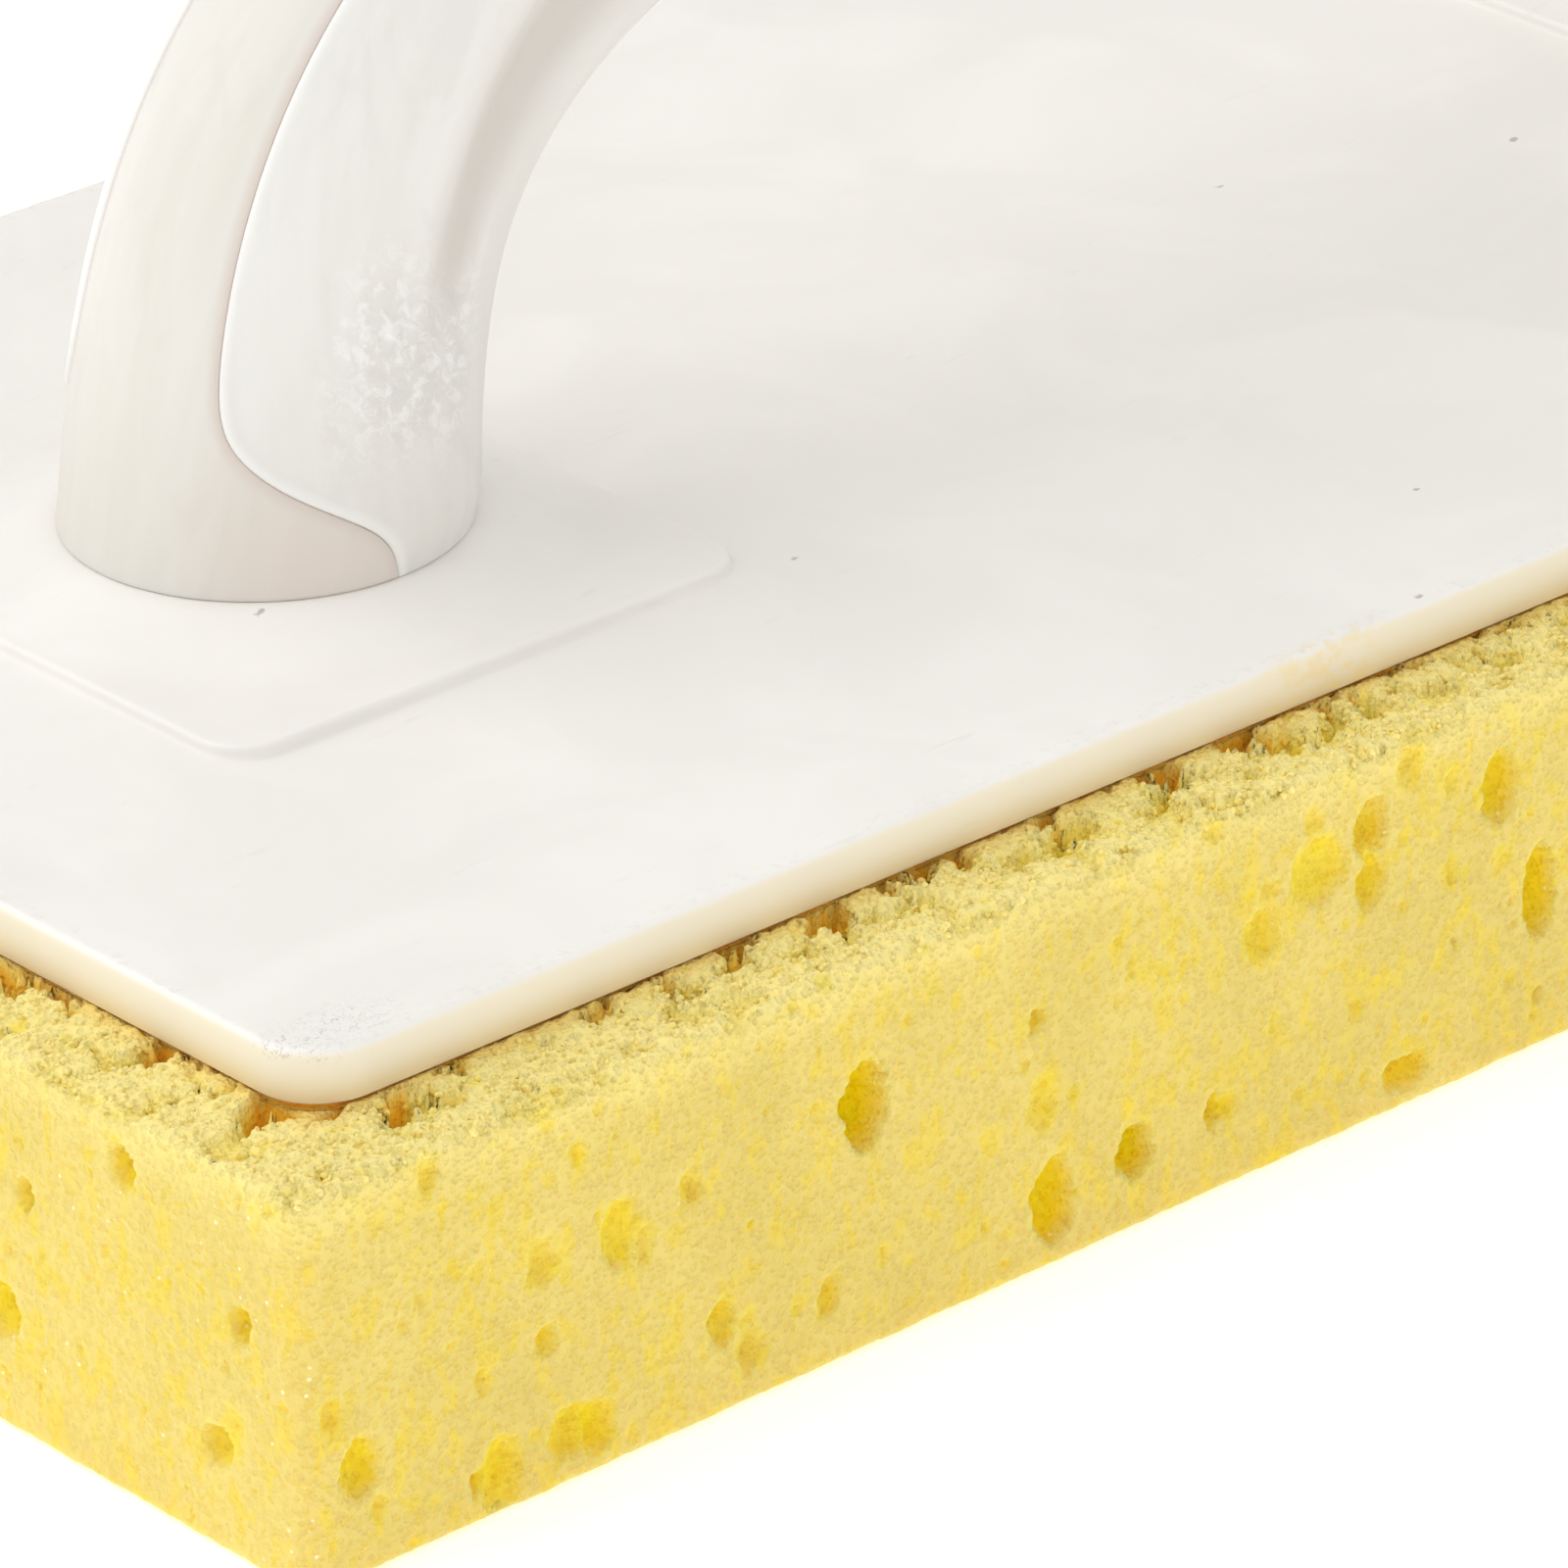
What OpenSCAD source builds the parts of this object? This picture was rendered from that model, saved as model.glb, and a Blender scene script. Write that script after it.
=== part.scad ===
// Grout float: a sponge block glued under a moulded backing plate, which
// carries a bowed handle made of two shells and held by screws from below.
// Millimetres, +Z up. The origin is the centre of the sponge's working face,
// X runs along the float and Y across it.

/* [Sponge] */
// Length of the sponge block
sponge_l = 268; // [260:1:320]
// Width of the sponge block
sponge_w = 140; // [132:1:160]
// Height of the sponge block
sponge_h = 29; // [15:0.5:45]
// Radius of the sponge's upright corners
sponge_corner_r = 2.5; // [1:0.5:6]

/* [Adhesive] */
// Thickness of the adhesive film between sponge and plate
film_t = 0.5; // [0.2:0.1:1]
// How far the film stops short of the plate's edge
film_inset = 1.2; // [0.5:0.1:5]

/* [Backing plate] */
// Length of the backing plate
plate_l = 252; // [240:1:258]
// Width of the backing plate
plate_w = 124; // [112:1:130]
// Thickness of the backing plate
plate_t = 4; // [3.5:0.5:8]
// Radius of the plate's upright corners
plate_corner_r = 5; // [2:0.5:10]

/* [Handle pads] */
// Length of the raised pad under each handle foot
pad_l = 46.8; // [42:0.1:52]
// Width of the raised pad
pad_w = 50.5; // [42:0.1:60]
// Height of the pad's rim over the plate
pad_rise = 1; // [0.5:0.1:3]
// Radius of the pad's corners
pad_corner_r = 4; // [2:0.5:8]
// Gap between the plate's end and the pad
pad_end_gap = 24; // [18:0.5:30]
// Rise of the low cone that lifts the foot above the pad's rim
cone_rise = 2.3; // [1:0.1:3]
// Radius of that cone where it leaves the pad
cone_r = 23; // [20:0.5:24]

/* [Handle] */
// Radius of the handle where it stands on the plate
foot_r = 14.9; // [13:0.1:16]
// Radius of the handle in the middle of the grip
grip_r = 11.9; // [11:0.1:13]
// Height of the grip's centre line above the foot's seat
bow_h = 49.3; // [44:0.1:60]
// How far the leg leans inwards over its first stretch
leg_lean = 2.6; // [0:0.1:5]
// Length of that first stretch, which sets how upright the leg starts
leg_rise = 19.3; // [12:0.1:26]
// How far past the leg the bow's flat top reaches outwards
top_reach = 76; // [60:0.5:78]
// Wall thickness of both handle shells
wall = 3; // [2.4:0.1:3.4]
// How far the grip shell stands proud of the spine shell at the seam
seam_step = 0.3; // [0.1:0.1:0.6]
// Half angle that the spine shell covers along the grip
spine_half_angle = 29; // [22:1:34]
// Depth of the finger flute along each side of the grip
flute_depth = 2.0; // [0:0.1:2.4]
// Distance along the handle at which the flute starts
flute_start = 17; // [14:0.5:30]

/* [Screws] */
// Radius of the screw shank
shank_r = 2; // [1.5:0.1:2.4]
// Length of the screw under its head
shank_l = 16; // [12:0.5:18]
// Radius of the screw head
head_r = 4; // [3.4:0.1:4.2]
// Height of the screw head
head_h = 2.4; // [1.6:0.1:2.6]
// Distance from the foot's centre to each screw
screw_offset = 7.2; // [6.8:0.1:7.6]

/* [Hidden] */
$fn = 64;

plate_z = sponge_h + film_t;
deck_z = plate_z + plate_t;
seat_z = deck_z + pad_rise + cone_rise;
foot_x = plate_l / 2 - pad_end_gap - pad_l / 2;

// Screws and the bores they turn into
bore_clear = 0.05;
plate_hole_r = shank_r + 0.25;
counterbore_r = head_r + 0.5;
counterbore_h = head_h + 0.3;
recess_l = 4.4;
recess_w = 0.9;
recess_h = 1.3;
bore_depth = shank_l - (seat_z - plate_z - counterbore_h) + 1.6;

// The half bow is one cubic curve from the foot's seat to the middle of the grip
bow = [
    [-foot_x, 0],
    [-foot_x + leg_lean, leg_rise],
    [-top_reach, bow_h],
    [0, bow_h]
];
half_rings = 38;
length_steps = 120;
// Rings crowd towards the foot, where the seam turns
ring_crowding = 1.25;
// The first ring is level with the seat, and the rings lean with the bow after this length
level_length = 9;
taper_length = 75;
taper_power = 1.3;

// Seam between the two shells
seam_open_angle = 90;
seam_turn_at = 6;
seam_turn_length = 1.4;
seam_tail_angle = 9;
seam_tail_length = 14;
// The feet are solid up to this length, and hollow out over the next stretch
plug_length = 14.5;
hollow_by = 22;
core_r = 1.2;
// Lip of the grip shell that laps under the spine shell
lap_angle = 12;
lap_t = 2;
lap_gap = 0.1;
lap_least_angle = 2;
lap_least_t = 0.3;

// Flute along each side of the grip, at this angle from the spine's middle
flute_angle = 96;
flute_half_angle = 26;
flute_full_at = 48;

spine_steps = 14;
grip_steps = 28;
lap_steps = 2;
// Share of the way round by which the inside of the wall draws back from each end of the skin
edge_taper = 0.012;

function ramp(x, a, b) = let (t = min(1, max(0, (x - a) / (b - a)))) t * t * (3 - 2 * t);
function mix(a, b, t) = a + (b - a) * t;

function bow_at(v) = let (u = 1 - v)
    u * u * u * bow[0] + 3 * u * u * v * bow[1] + 3 * u * v * v * bow[2] + v * v * v * bow[3];
function bow_along(v) = let (u = 1 - v)
    u * u * (bow[1] - bow[0]) + 2 * u * v * (bow[2] - bow[1]) + v * v * (bow[3] - bow[2]);

// Distance along the half bow for equal steps of the curve's parameter
travel = [
    for (i = 0, s = 0; i <= length_steps;
         i = i + 1, s = s + norm(bow_at(i / length_steps) - bow_at((i - 1) / length_steps)))
        [s, i / length_steps]
];
half_length = travel[length_steps][0];

// Ring i of the whole handle, from the left foot over the grip to the right foot
function ring_place(i) = i <= half_rings ? i : 2 * half_rings - i;
function ring_s(i) = half_length * pow(ring_place(i) / half_rings, ring_crowding);
function ring_side(i) = i <= half_rings ? 1 : -1;
function ring_point(i) = let (p = bow_at(lookup(ring_s(i), travel))) [ring_side(i) * p[0], p[1]];
function ring_out(i) = let (
        t = bow_along(lookup(ring_s(i), travel)),
        along = mix([0, 1], t / norm(t), ramp(ring_s(i), 0, level_length)),
        n = norm(along)
    ) [-ring_side(i) * along[1] / n, along[0] / n];

function handle_r(s) = grip_r + (foot_r - grip_r) * pow(max(0, 1 - s / taper_length), taper_power);
function seam_angle(s) = let (
        turn = 1 / (1 + exp((s - seam_turn_at) / seam_turn_length)),
        tail = seam_tail_angle * exp(-s / seam_tail_length)
    ) s < 1 ? seam_open_angle
            : spine_half_angle + tail + (seam_open_angle - spine_half_angle - tail) * turn;
function flute(s, a) = let (
        reach = ramp(s, flute_start, flute_full_at),
        off = abs(a - flute_angle) / (flute_half_angle * mix(0.3, 1, reach))
    ) off < 1 ? flute_depth * reach * (0.5 + 0.5 * cos(180 * off)) : 0;
function grip_surface_r(s, a) = handle_r(s) + seam_step * ramp(s, 0, 3) - flute(s, a);

// Point of ring i at angle a from the spine's middle line and distance r from the centre line
function ring_at(i, a, r) = let (p = ring_point(i), n = ring_out(i))
    [p[0] + r * cos(a) * n[0], r * sin(a), seat_z + p[1] + r * cos(a) * n[1]];

function hollow(s) = ramp(s, plug_length, hollow_by);
function spine_inner_r(s) = mix(core_r, handle_r(s) - wall, hollow(s));

// Each shell's wall at ring i, as [outside points, inside points] from one edge to the other
function spine_wall(i) = let (s = ring_s(i), e = seam_angle(s)) [
    for (r = [handle_r(s), spine_inner_r(s)])
        [for (k = [0 : spine_steps]) ring_at(i, mix(-e, e, k / spine_steps), r)]
];

// Stations of the grip shell at ring i, as [angle outside, radius outside, angle inside, radius inside]
function grip_stations(i) = let (
        s = ring_s(i),
        e = seam_angle(s),
        under = spine_inner_r(s) - lap_gap,
        lip_r = under - mix(lap_least_t, lap_t, hollow(s)),
        lap = mix(lap_least_angle, lap_angle, hollow(s)),
        lip = [for (k = [0 : lap_steps]) let (a = e - lap * (1 - k / lap_steps)) [a, under, a, lip_r]],
        lip_back = [for (k = [lap_steps : -1 : 0]) let (a = 360 - lip[k][0]) [a, under, a, lip_r]],
        skin = [for (k = [0 : grip_steps]) let (
                a = mix(e, 360 - e, k / grip_steps),
                r = grip_surface_r(s, min(a, 360 - a)),
                edge = k == 0 || k == grip_steps
            ) [a, r, mix(a, 180, edge_taper), edge ? lip_r : mix(lip_r, r - wall - seam_step, hollow(s))]]
    ) concat(lip, skin, lip_back);
function grip_wall(i) = let (stations = grip_stations(i)) [
    [for (t = stations) ring_at(i, t[0], t[1])],
    [for (t = stations) ring_at(i, t[2], t[3])]
];

// Closed solid through walls of equal length. Its end caps are strips of four-sided faces.
module loft(walls) {
    m = len(walls);
    last = len(walls[0][0]) - 1;
    n = 2 * (last + 1);
    polyhedron(
        points = [for (w = walls) each concat(w[0], [for (j = [last : -1 : 0]) w[1][j]])],
        faces = concat(
            [for (j = [0 : last - 1]) let (o = [j, j + 1], in = [n - 1 - j, n - 2 - j])
                j < last / 2 ? [o[0], o[1], in[1], in[0]] : [o[1], in[1], in[0], o[0]]],
            [for (i = [0 : m - 2], k = [0 : n - 1]) let (j = (k + 1) % n)
                [i * n + k, (i + 1) * n + k, (i + 1) * n + j, i * n + j]],
            [for (j = [0 : last - 1]) let (z = (m - 1) * n, o = [z + j, z + j + 1], in = [z + n - 1 - j, z + n - 2 - j])
                j < last / 2 ? [o[0], in[0], in[1], o[1]] : [o[1], o[0], in[0], in[1]]]
        )
    );
}

// Rounded slab centred on the Z axis
module slab(l, w, h, r) {
    linear_extrude(height = h) {
        square([l - 2 * r, w], center = true);
        square([l, w - 2 * r], center = true);
        for (x = [-1, 1], y = [-1, 1])
            translate([x * (l / 2 - r), y * (w / 2 - r)]) circle(r = r);
    }
}

module at_feet() {
    for (side = [-1, 1]) translate([side * foot_x, 0, 0]) children();
}

// Places children at each screw: towards = 1 for the spine's screws and -1 for the grip's
module at_screws(towards) {
    for (side = [-1, 1]) translate([side * (foot_x + towards * screw_offset), 0, 0]) children();
}

module sponge_block() {
    color("khaki") slab(sponge_l, sponge_w, sponge_h, sponge_corner_r);
}

module adhesive_film() {
    color("goldenrod") translate([0, 0, sponge_h])
        slab(plate_l - 2 * film_inset, plate_w - 2 * film_inset, film_t, plate_corner_r - film_inset);
}

module backing_plate() {
    color("ivory") difference() {
        union() {
            translate([0, 0, plate_z]) slab(plate_l, plate_w, plate_t, plate_corner_r);
            at_feet() {
                translate([0, 0, plate_z]) slab(pad_l, pad_w, plate_t + pad_rise, pad_corner_r);
                translate([0, 0, deck_z + pad_rise]) cylinder(h = cone_rise, r1 = cone_r, r2 = foot_r + 0.6);
            }
        }
        for (towards = [-1, 1]) at_screws(towards) {
            translate([0, 0, plate_z - 1]) cylinder(h = seat_z - plate_z + 2, r = plate_hole_r);
            translate([0, 0, plate_z - 1]) cylinder(h = counterbore_h + 1, r = counterbore_r);
        }
    }
}

module screw_bores(towards) {
    at_screws(towards) translate([0, 0, seat_z - 1]) cylinder(h = bore_depth + 1, r = shank_r + bore_clear);
}

module handle_spine() {
    color("whitesmoke") difference() {
        loft([for (i = [0 : 2 * half_rings]) spine_wall(i)]);
        screw_bores(1);
    }
}

module handle_grip() {
    color("white") difference() {
        loft([for (i = [0 : 2 * half_rings]) grip_wall(i)]);
        screw_bores(-1);
    }
}

module handle_screws() {
    head_z = plate_z + counterbore_h - head_h;
    color("silver") for (towards = [-1, 1]) at_screws(towards) {
        difference() {
            translate([0, 0, head_z]) cylinder(h = head_h, r = head_r);
            for (turn = [0, 90])
                translate([0, 0, head_z + recess_h / 2]) rotate([0, 0, turn])
                    cube([recess_l, recess_w, recess_h + 0.01], center = true);
        }
        translate([0, 0, head_z + head_h - 0.5]) cylinder(h = shank_l + 0.5, r = shank_r);
    }
}

sponge_block();
adhesive_film();
backing_plate();
handle_spine();
handle_grip();
handle_screws();
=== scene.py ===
"""Grout float: a hydro sponge glued under a moulded plate, with a bowed two-shell handle.

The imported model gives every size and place. This script builds the finished surfaces round it: the sponge
with its pores, the squeezed-out adhesive, the plate with its pads, the two handle shells and the screws.
"""

import logging
import math
from dataclasses import dataclass, field
from enum import Enum
from typing import Callable, Iterable, Sequence, Union

import bmesh
import bpy
import numpy as np
from mathutils import Matrix, Vector
from mathutils.geometry import delaunay_2d_cdt


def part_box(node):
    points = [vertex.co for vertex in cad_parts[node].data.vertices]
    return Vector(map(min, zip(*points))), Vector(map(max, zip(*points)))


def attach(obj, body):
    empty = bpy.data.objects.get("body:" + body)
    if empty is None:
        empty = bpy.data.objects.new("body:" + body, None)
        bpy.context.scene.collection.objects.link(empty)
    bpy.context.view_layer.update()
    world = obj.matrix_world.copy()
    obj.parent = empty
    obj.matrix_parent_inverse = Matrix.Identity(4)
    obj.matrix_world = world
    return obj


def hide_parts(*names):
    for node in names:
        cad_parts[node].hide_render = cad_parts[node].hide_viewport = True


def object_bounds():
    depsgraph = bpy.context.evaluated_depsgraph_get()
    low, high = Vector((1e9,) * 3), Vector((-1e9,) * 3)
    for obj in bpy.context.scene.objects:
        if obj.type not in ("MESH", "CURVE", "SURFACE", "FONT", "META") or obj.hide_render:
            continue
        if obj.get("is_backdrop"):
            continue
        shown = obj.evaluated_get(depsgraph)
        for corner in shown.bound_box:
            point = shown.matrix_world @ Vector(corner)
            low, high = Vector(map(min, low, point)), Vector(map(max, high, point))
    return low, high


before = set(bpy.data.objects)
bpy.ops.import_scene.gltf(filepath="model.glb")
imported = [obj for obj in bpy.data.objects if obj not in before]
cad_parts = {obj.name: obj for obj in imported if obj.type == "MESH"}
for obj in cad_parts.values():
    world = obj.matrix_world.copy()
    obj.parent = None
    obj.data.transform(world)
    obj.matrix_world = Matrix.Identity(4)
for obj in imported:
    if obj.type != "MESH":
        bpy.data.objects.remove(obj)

MM = 0.001
DEGREE = math.pi / 180
SEED = 7
MERGE = 1e-7        # mm: points nearer than this are one
LEAST_AREA = 1e-9   # mm2: flatter triangles are left out
CREASE = 50.0       # degrees: sharper creases stay sharp
CAD_LOW, CAD_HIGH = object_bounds()

log = logging.getLogger("grout_float")


class Slot(Enum):
    """The record's material slots."""

    SPONGE = "sponge"
    ADHESIVE = "adhesive"
    PLATE = "plate_plastic"
    SPINE = "handle_plastic"
    GRIP = "grip_plastic"
    SCREW = "screw_steel"


class Shell(Enum):
    """The two shells of the handle."""

    SPINE = 0.0
    GRIP = 1.0


# ---------------------------------------------------------------- node arithmetic

Number = Union[float, "Field"]
Colour = tuple[int, int, int]


def plug(tree: bpy.types.NodeTree, value: object, socket: bpy.types.NodeSocket) -> None:
    """Feeds a socket.

    Args:
        tree: The tree that the socket is in.
        value: A Field, a Vec, an output socket or a constant.
        socket: The input to feed.
    """
    source = getattr(value, "socket", value)
    if isinstance(source, bpy.types.NodeSocket):
        tree.links.new(source, socket)
    else:
        socket.default_value = source


class Field:
    """A number in a node tree. Python arithmetic on it adds Math nodes."""

    def __init__(self, tree: bpy.types.NodeTree, socket: bpy.types.NodeSocket) -> None:
        """Wraps an output socket of the tree."""
        self.tree = tree
        self.socket = socket

    def math(self, operation: str, *others: Number) -> "Field":
        """Adds one Math node.

        Args:
            operation: The node's operation.
            others: What goes in after this field.

        Returns:
            The node's result.
        """
        node = self.tree.nodes.new("ShaderNodeMath")
        node.operation = operation
        for socket, value in zip(node.inputs, (self, *others)):
            plug(self.tree, value, socket)
        return Field(self.tree, node.outputs[0])

    def _from(self, value: Number) -> "Field":
        """A field that holds value."""
        if isinstance(value, Field):
            return value
        node = self.tree.nodes.new("ShaderNodeValue")
        node.outputs[0].default_value = value
        return Field(self.tree, node.outputs[0])

    def __add__(self, other: Number) -> "Field":
        """Sum."""
        return self.math("ADD", other)

    def __sub__(self, other: Number) -> "Field":
        """Difference."""
        return self.math("SUBTRACT", other)

    def __rsub__(self, other: Number) -> "Field":
        """Difference from a constant."""
        return self._from(other).math("SUBTRACT", self)

    def __mul__(self, other: Number) -> "Field":
        """Product."""
        return self.math("MULTIPLY", other)

    def __truediv__(self, other: Number) -> "Field":
        """Quotient."""
        return self.math("DIVIDE", other)

    def __rtruediv__(self, other: Number) -> "Field":
        """A constant divided by this."""
        return self._from(other).math("DIVIDE", self)

    def __pow__(self, other: Number) -> "Field":
        """Power."""
        return self.math("POWER", other)

    def __neg__(self) -> "Field":
        """Negative."""
        return self.math("MULTIPLY", -1.0)

    __radd__ = __add__
    __rmul__ = __mul__

    def abs(self) -> "Field":
        """Size without sign."""
        return self.math("ABSOLUTE")

    def max(self, other: Number) -> "Field":
        """The larger of two."""
        return self.math("MAXIMUM", other)

    def min(self, other: Number) -> "Field":
        """The smaller of two."""
        return self.math("MINIMUM", other)

    def below(self, other: Number) -> "Field":
        """1 where this is under other, else 0."""
        return self.math("LESS_THAN", other)

    def mix(self, low: Number, high: Number) -> "Field":
        """low where this is 0 and high where it is 1."""
        return self._from(low) + (self._from(high) - low) * self

    def ramp(self, start: Number, end: Number) -> "Field":
        """A smooth step from 0 at start to 1 at end."""
        node = self.tree.nodes.new("ShaderNodeMapRange")
        node.interpolation_type = "SMOOTHSTEP"
        for name, value in (("Value", self), ("From Min", start), ("From Max", end)):
            plug(self.tree, value, node.inputs[name])
        return Field(self.tree, node.outputs["Result"])

    def roll(self, radius: Number) -> "Field":
        """How far a rounded edge of that radius has dropped at this distance from the edge."""
        left = (1.0 - self / radius).max(0.0).min(1.0)
        return (1.0 - (1.0 - left * left).math("SQRT")) * radius


class Vec:
    """A vector in a node tree."""

    def __init__(self, tree: bpy.types.NodeTree, socket: bpy.types.NodeSocket) -> None:
        """Wraps an output socket of the tree."""
        self.tree = tree
        self.socket = socket

    @classmethod
    def of(cls, tree: bpy.types.NodeTree, x: Number, y: Number, z: Number) -> "Vec":
        """The vector of three numbers."""
        node = tree.nodes.new("ShaderNodeCombineXYZ")
        for socket, value in zip(node.inputs, (x, y, z)):
            plug(tree, value, socket)
        return cls(tree, node.outputs[0])

    def math(self, operation: str, *others: object, output: str = "Vector") -> "Vec":
        """Adds one Vector Math node and wraps the named output."""
        node = self.tree.nodes.new("ShaderNodeVectorMath")
        node.operation = operation
        for socket, value in zip(node.inputs, (self, *others)):
            plug(self.tree, value, socket)
        return Vec(self.tree, node.outputs[output])

    def __add__(self, other: object) -> "Vec":
        """Sum."""
        return self.math("ADD", other)

    def __sub__(self, other: object) -> "Vec":
        """Difference."""
        return self.math("SUBTRACT", other)

    def __mul__(self, other: object) -> "Vec":
        """Product, part by part."""
        return self.math("MULTIPLY", other)

    def scale(self, factor: Number) -> "Vec":
        """This vector times a number."""
        node = self.tree.nodes.new("ShaderNodeVectorMath")
        node.operation = "SCALE"
        plug(self.tree, self, node.inputs[0])
        plug(self.tree, factor, node.inputs["Scale"])
        return Vec(self.tree, node.outputs[0])

    def dot(self, other: object) -> Field:
        """Dot product."""
        return Field(self.tree, self.math("DOT_PRODUCT", other, output="Value").socket)

    def parts(self) -> tuple[Field, Field, Field]:
        """The three numbers."""
        node = self.tree.nodes.new("ShaderNodeSeparateXYZ")
        plug(self.tree, self, node.inputs[0])
        return tuple(Field(self.tree, out) for out in node.outputs)

    def noise(self, scale: float, detail: float = 2.0, rough: float = 0.5, warp: float = 0.0) -> Field:
        """Fractal noise from 0 to 1 at this place."""
        node = self.tree.nodes.new("ShaderNodeTexNoise")
        plug(self.tree, self, node.inputs["Vector"])
        node.inputs["Scale"].default_value = scale
        node.inputs["Detail"].default_value = detail
        node.inputs["Roughness"].default_value = rough
        node.inputs["Distortion"].default_value = warp
        return Field(self.tree, node.outputs[0])

    def cells(self, scale: float = 1.0) -> bpy.types.Node:
        """A Voronoi node at this place."""
        node = self.tree.nodes.new("ShaderNodeTexVoronoi")
        plug(self.tree, self, node.inputs["Vector"])
        node.inputs["Scale"].default_value = scale
        return node


class Maker:
    """A geometry node tree under construction, with named inputs."""

    def __init__(self, name: str, values: dict[str, float]) -> None:
        """Starts the tree.

        Args:
            name: The tree's name.
            values: Each input's name and value.
        """
        self.tree = bpy.data.node_groups.new(name, "GeometryNodeTree")
        self.tree.interface.new_socket("Geometry", in_out="INPUT", socket_type="NodeSocketGeometry")
        self.values = values
        for key in values:
            self.tree.interface.new_socket(key, in_out="INPUT", socket_type="NodeSocketFloat")
        self.tree.interface.new_socket("Geometry", in_out="OUTPUT", socket_type="NodeSocketGeometry")
        self.source = self.tree.nodes.new("NodeGroupInput")

    def value(self, key: str) -> Field:
        """The named input."""
        return Field(self.tree, self.source.outputs[key])

    def node(self, kind: str, feeds: dict[str, object] | None = None, **settings: object) -> bpy.types.Node:
        """Adds a node.

        Args:
            kind: The node's type.
            feeds: What goes into its inputs, by name.
            settings: Its own settings.

        Returns:
            The node.
        """
        node = self.tree.nodes.new(kind)
        for key, setting in settings.items():
            setattr(node, key, setting)
        for key, value in (feeds or {}).items():
            plug(self.tree, value, node.inputs[key])
        return node

    def position(self) -> Vec:
        """Each point's place."""
        return Vec(self.tree, self.node("GeometryNodeInputPosition").outputs[0])

    def outward(self) -> Vec:
        """Each point's stored outward direction."""
        return Vec(self.tree, self.node("GeometryNodeInputNamedAttribute", {"Name": "out"},
                                        data_type="FLOAT_VECTOR").outputs[0])

    def stored(self, name: str) -> Field:
        """A number stored on each point."""
        return Field(self.tree, self.node("GeometryNodeInputNamedAttribute", {"Name": name},
                                          data_type="FLOAT").outputs[0])

    def store(self, geometry: object, kind: str = "FLOAT", **values: object) -> object:
        """Stores values on each point.

        Args:
            geometry: Where they go.
            kind: Their data type.
            values: Each one's name and value.

        Returns:
            The geometry with them.
        """
        for name, value in values.items():
            node = self.node("GeometryNodeStoreNamedAttribute", {
                "Geometry": geometry, "Name": name, "Value": value}, data_type=kind, domain="POINT")
            geometry = node.outputs[0]
        return geometry

    def input_geometry(self) -> bpy.types.NodeSocket:
        """The mesh that comes in."""
        return self.source.outputs["Geometry"]

    def random(self, low: str, high: str, seed: int) -> Field:
        """A random number for each point between two of the named inputs."""
        node = self.node("FunctionNodeRandomValue", data_type="FLOAT")
        ends = [socket for socket in node.inputs if socket.enabled and socket.name in ("Min", "Max", "Seed")]
        for socket, value in zip(ends, (self.value(low), self.value(high), seed)):
            plug(self.tree, value, socket)
        return Field(self.tree, next(socket for socket in node.outputs if socket.enabled))

    def move(self, geometry: object, material: bpy.types.Material, **where: Vec) -> None:
        """Ends the tree by moving the points, with an Offset or to a Position."""
        moved = self.node("GeometryNodeSetPosition", {"Geometry": geometry, **where})
        self.close(moved.outputs[0], material)

    def close(self, geometry: object, material: bpy.types.Material) -> None:
        """Ends the tree in real, dressed geometry."""
        real = self.node("GeometryNodeRealizeInstances", {"Geometry": geometry})
        dressed = self.node("GeometryNodeSetMaterial", {"Geometry": real.outputs[0], "Material": material})
        self.tree.links.new(dressed.outputs[0], self.tree.nodes.new("NodeGroupOutput").inputs[0])

    def run(self, obj: bpy.types.Object) -> bpy.types.Object:
        """Runs the tree on an object and keeps the result as its plain mesh.

        Args:
            obj: The object, whose mesh goes in.

        Returns:
            The same object.
        """
        modifier = obj.modifiers.new(self.tree.name, "NODES")
        modifier.node_group = self.tree
        for item in self.tree.interface.items_tree:
            if item.in_out == "INPUT" and item.name in self.values:
                modifier[item.identifier] = self.values[item.name]
        graph = bpy.context.evaluated_depsgraph_get()
        mesh = bpy.data.meshes.new_from_object(obj.evaluated_get(graph), depsgraph=graph)
        obj.modifiers.remove(modifier)
        obj.data = mesh
        return obj


# ---------------------------------------------------------------- mesh building


def new_object(name: str, points: np.ndarray, faces: Iterable[Sequence[int]]) -> bpy.types.Object:
    """A smooth-shaded mesh object at the origin.

    Args:
        name: The object's name.
        points: Its points, in metres.
        faces: Its faces, as point numbers.

    Returns:
        The object, linked to the scene.
    """
    mesh = bpy.data.meshes.new(name)
    mesh.from_pydata(np.asarray(points, float).tolist(), [], [list(f) for f in faces])
    obj = bpy.data.objects.new(name, mesh)
    smooth(obj)
    mesh.update()
    bpy.context.scene.collection.objects.link(obj)
    return obj


def smooth(obj: bpy.types.Object) -> None:
    """Shades every face smooth."""
    obj.data.polygons.foreach_set("use_smooth", [True] * len(obj.data.polygons))


def soften(obj: bpy.types.Object) -> None:
    """Smooth shading with the sharp creases kept sharp."""
    smooth(obj)
    obj.data.set_sharp_from_angle(angle=math.radians(CREASE))
    obj.data.update()


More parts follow.
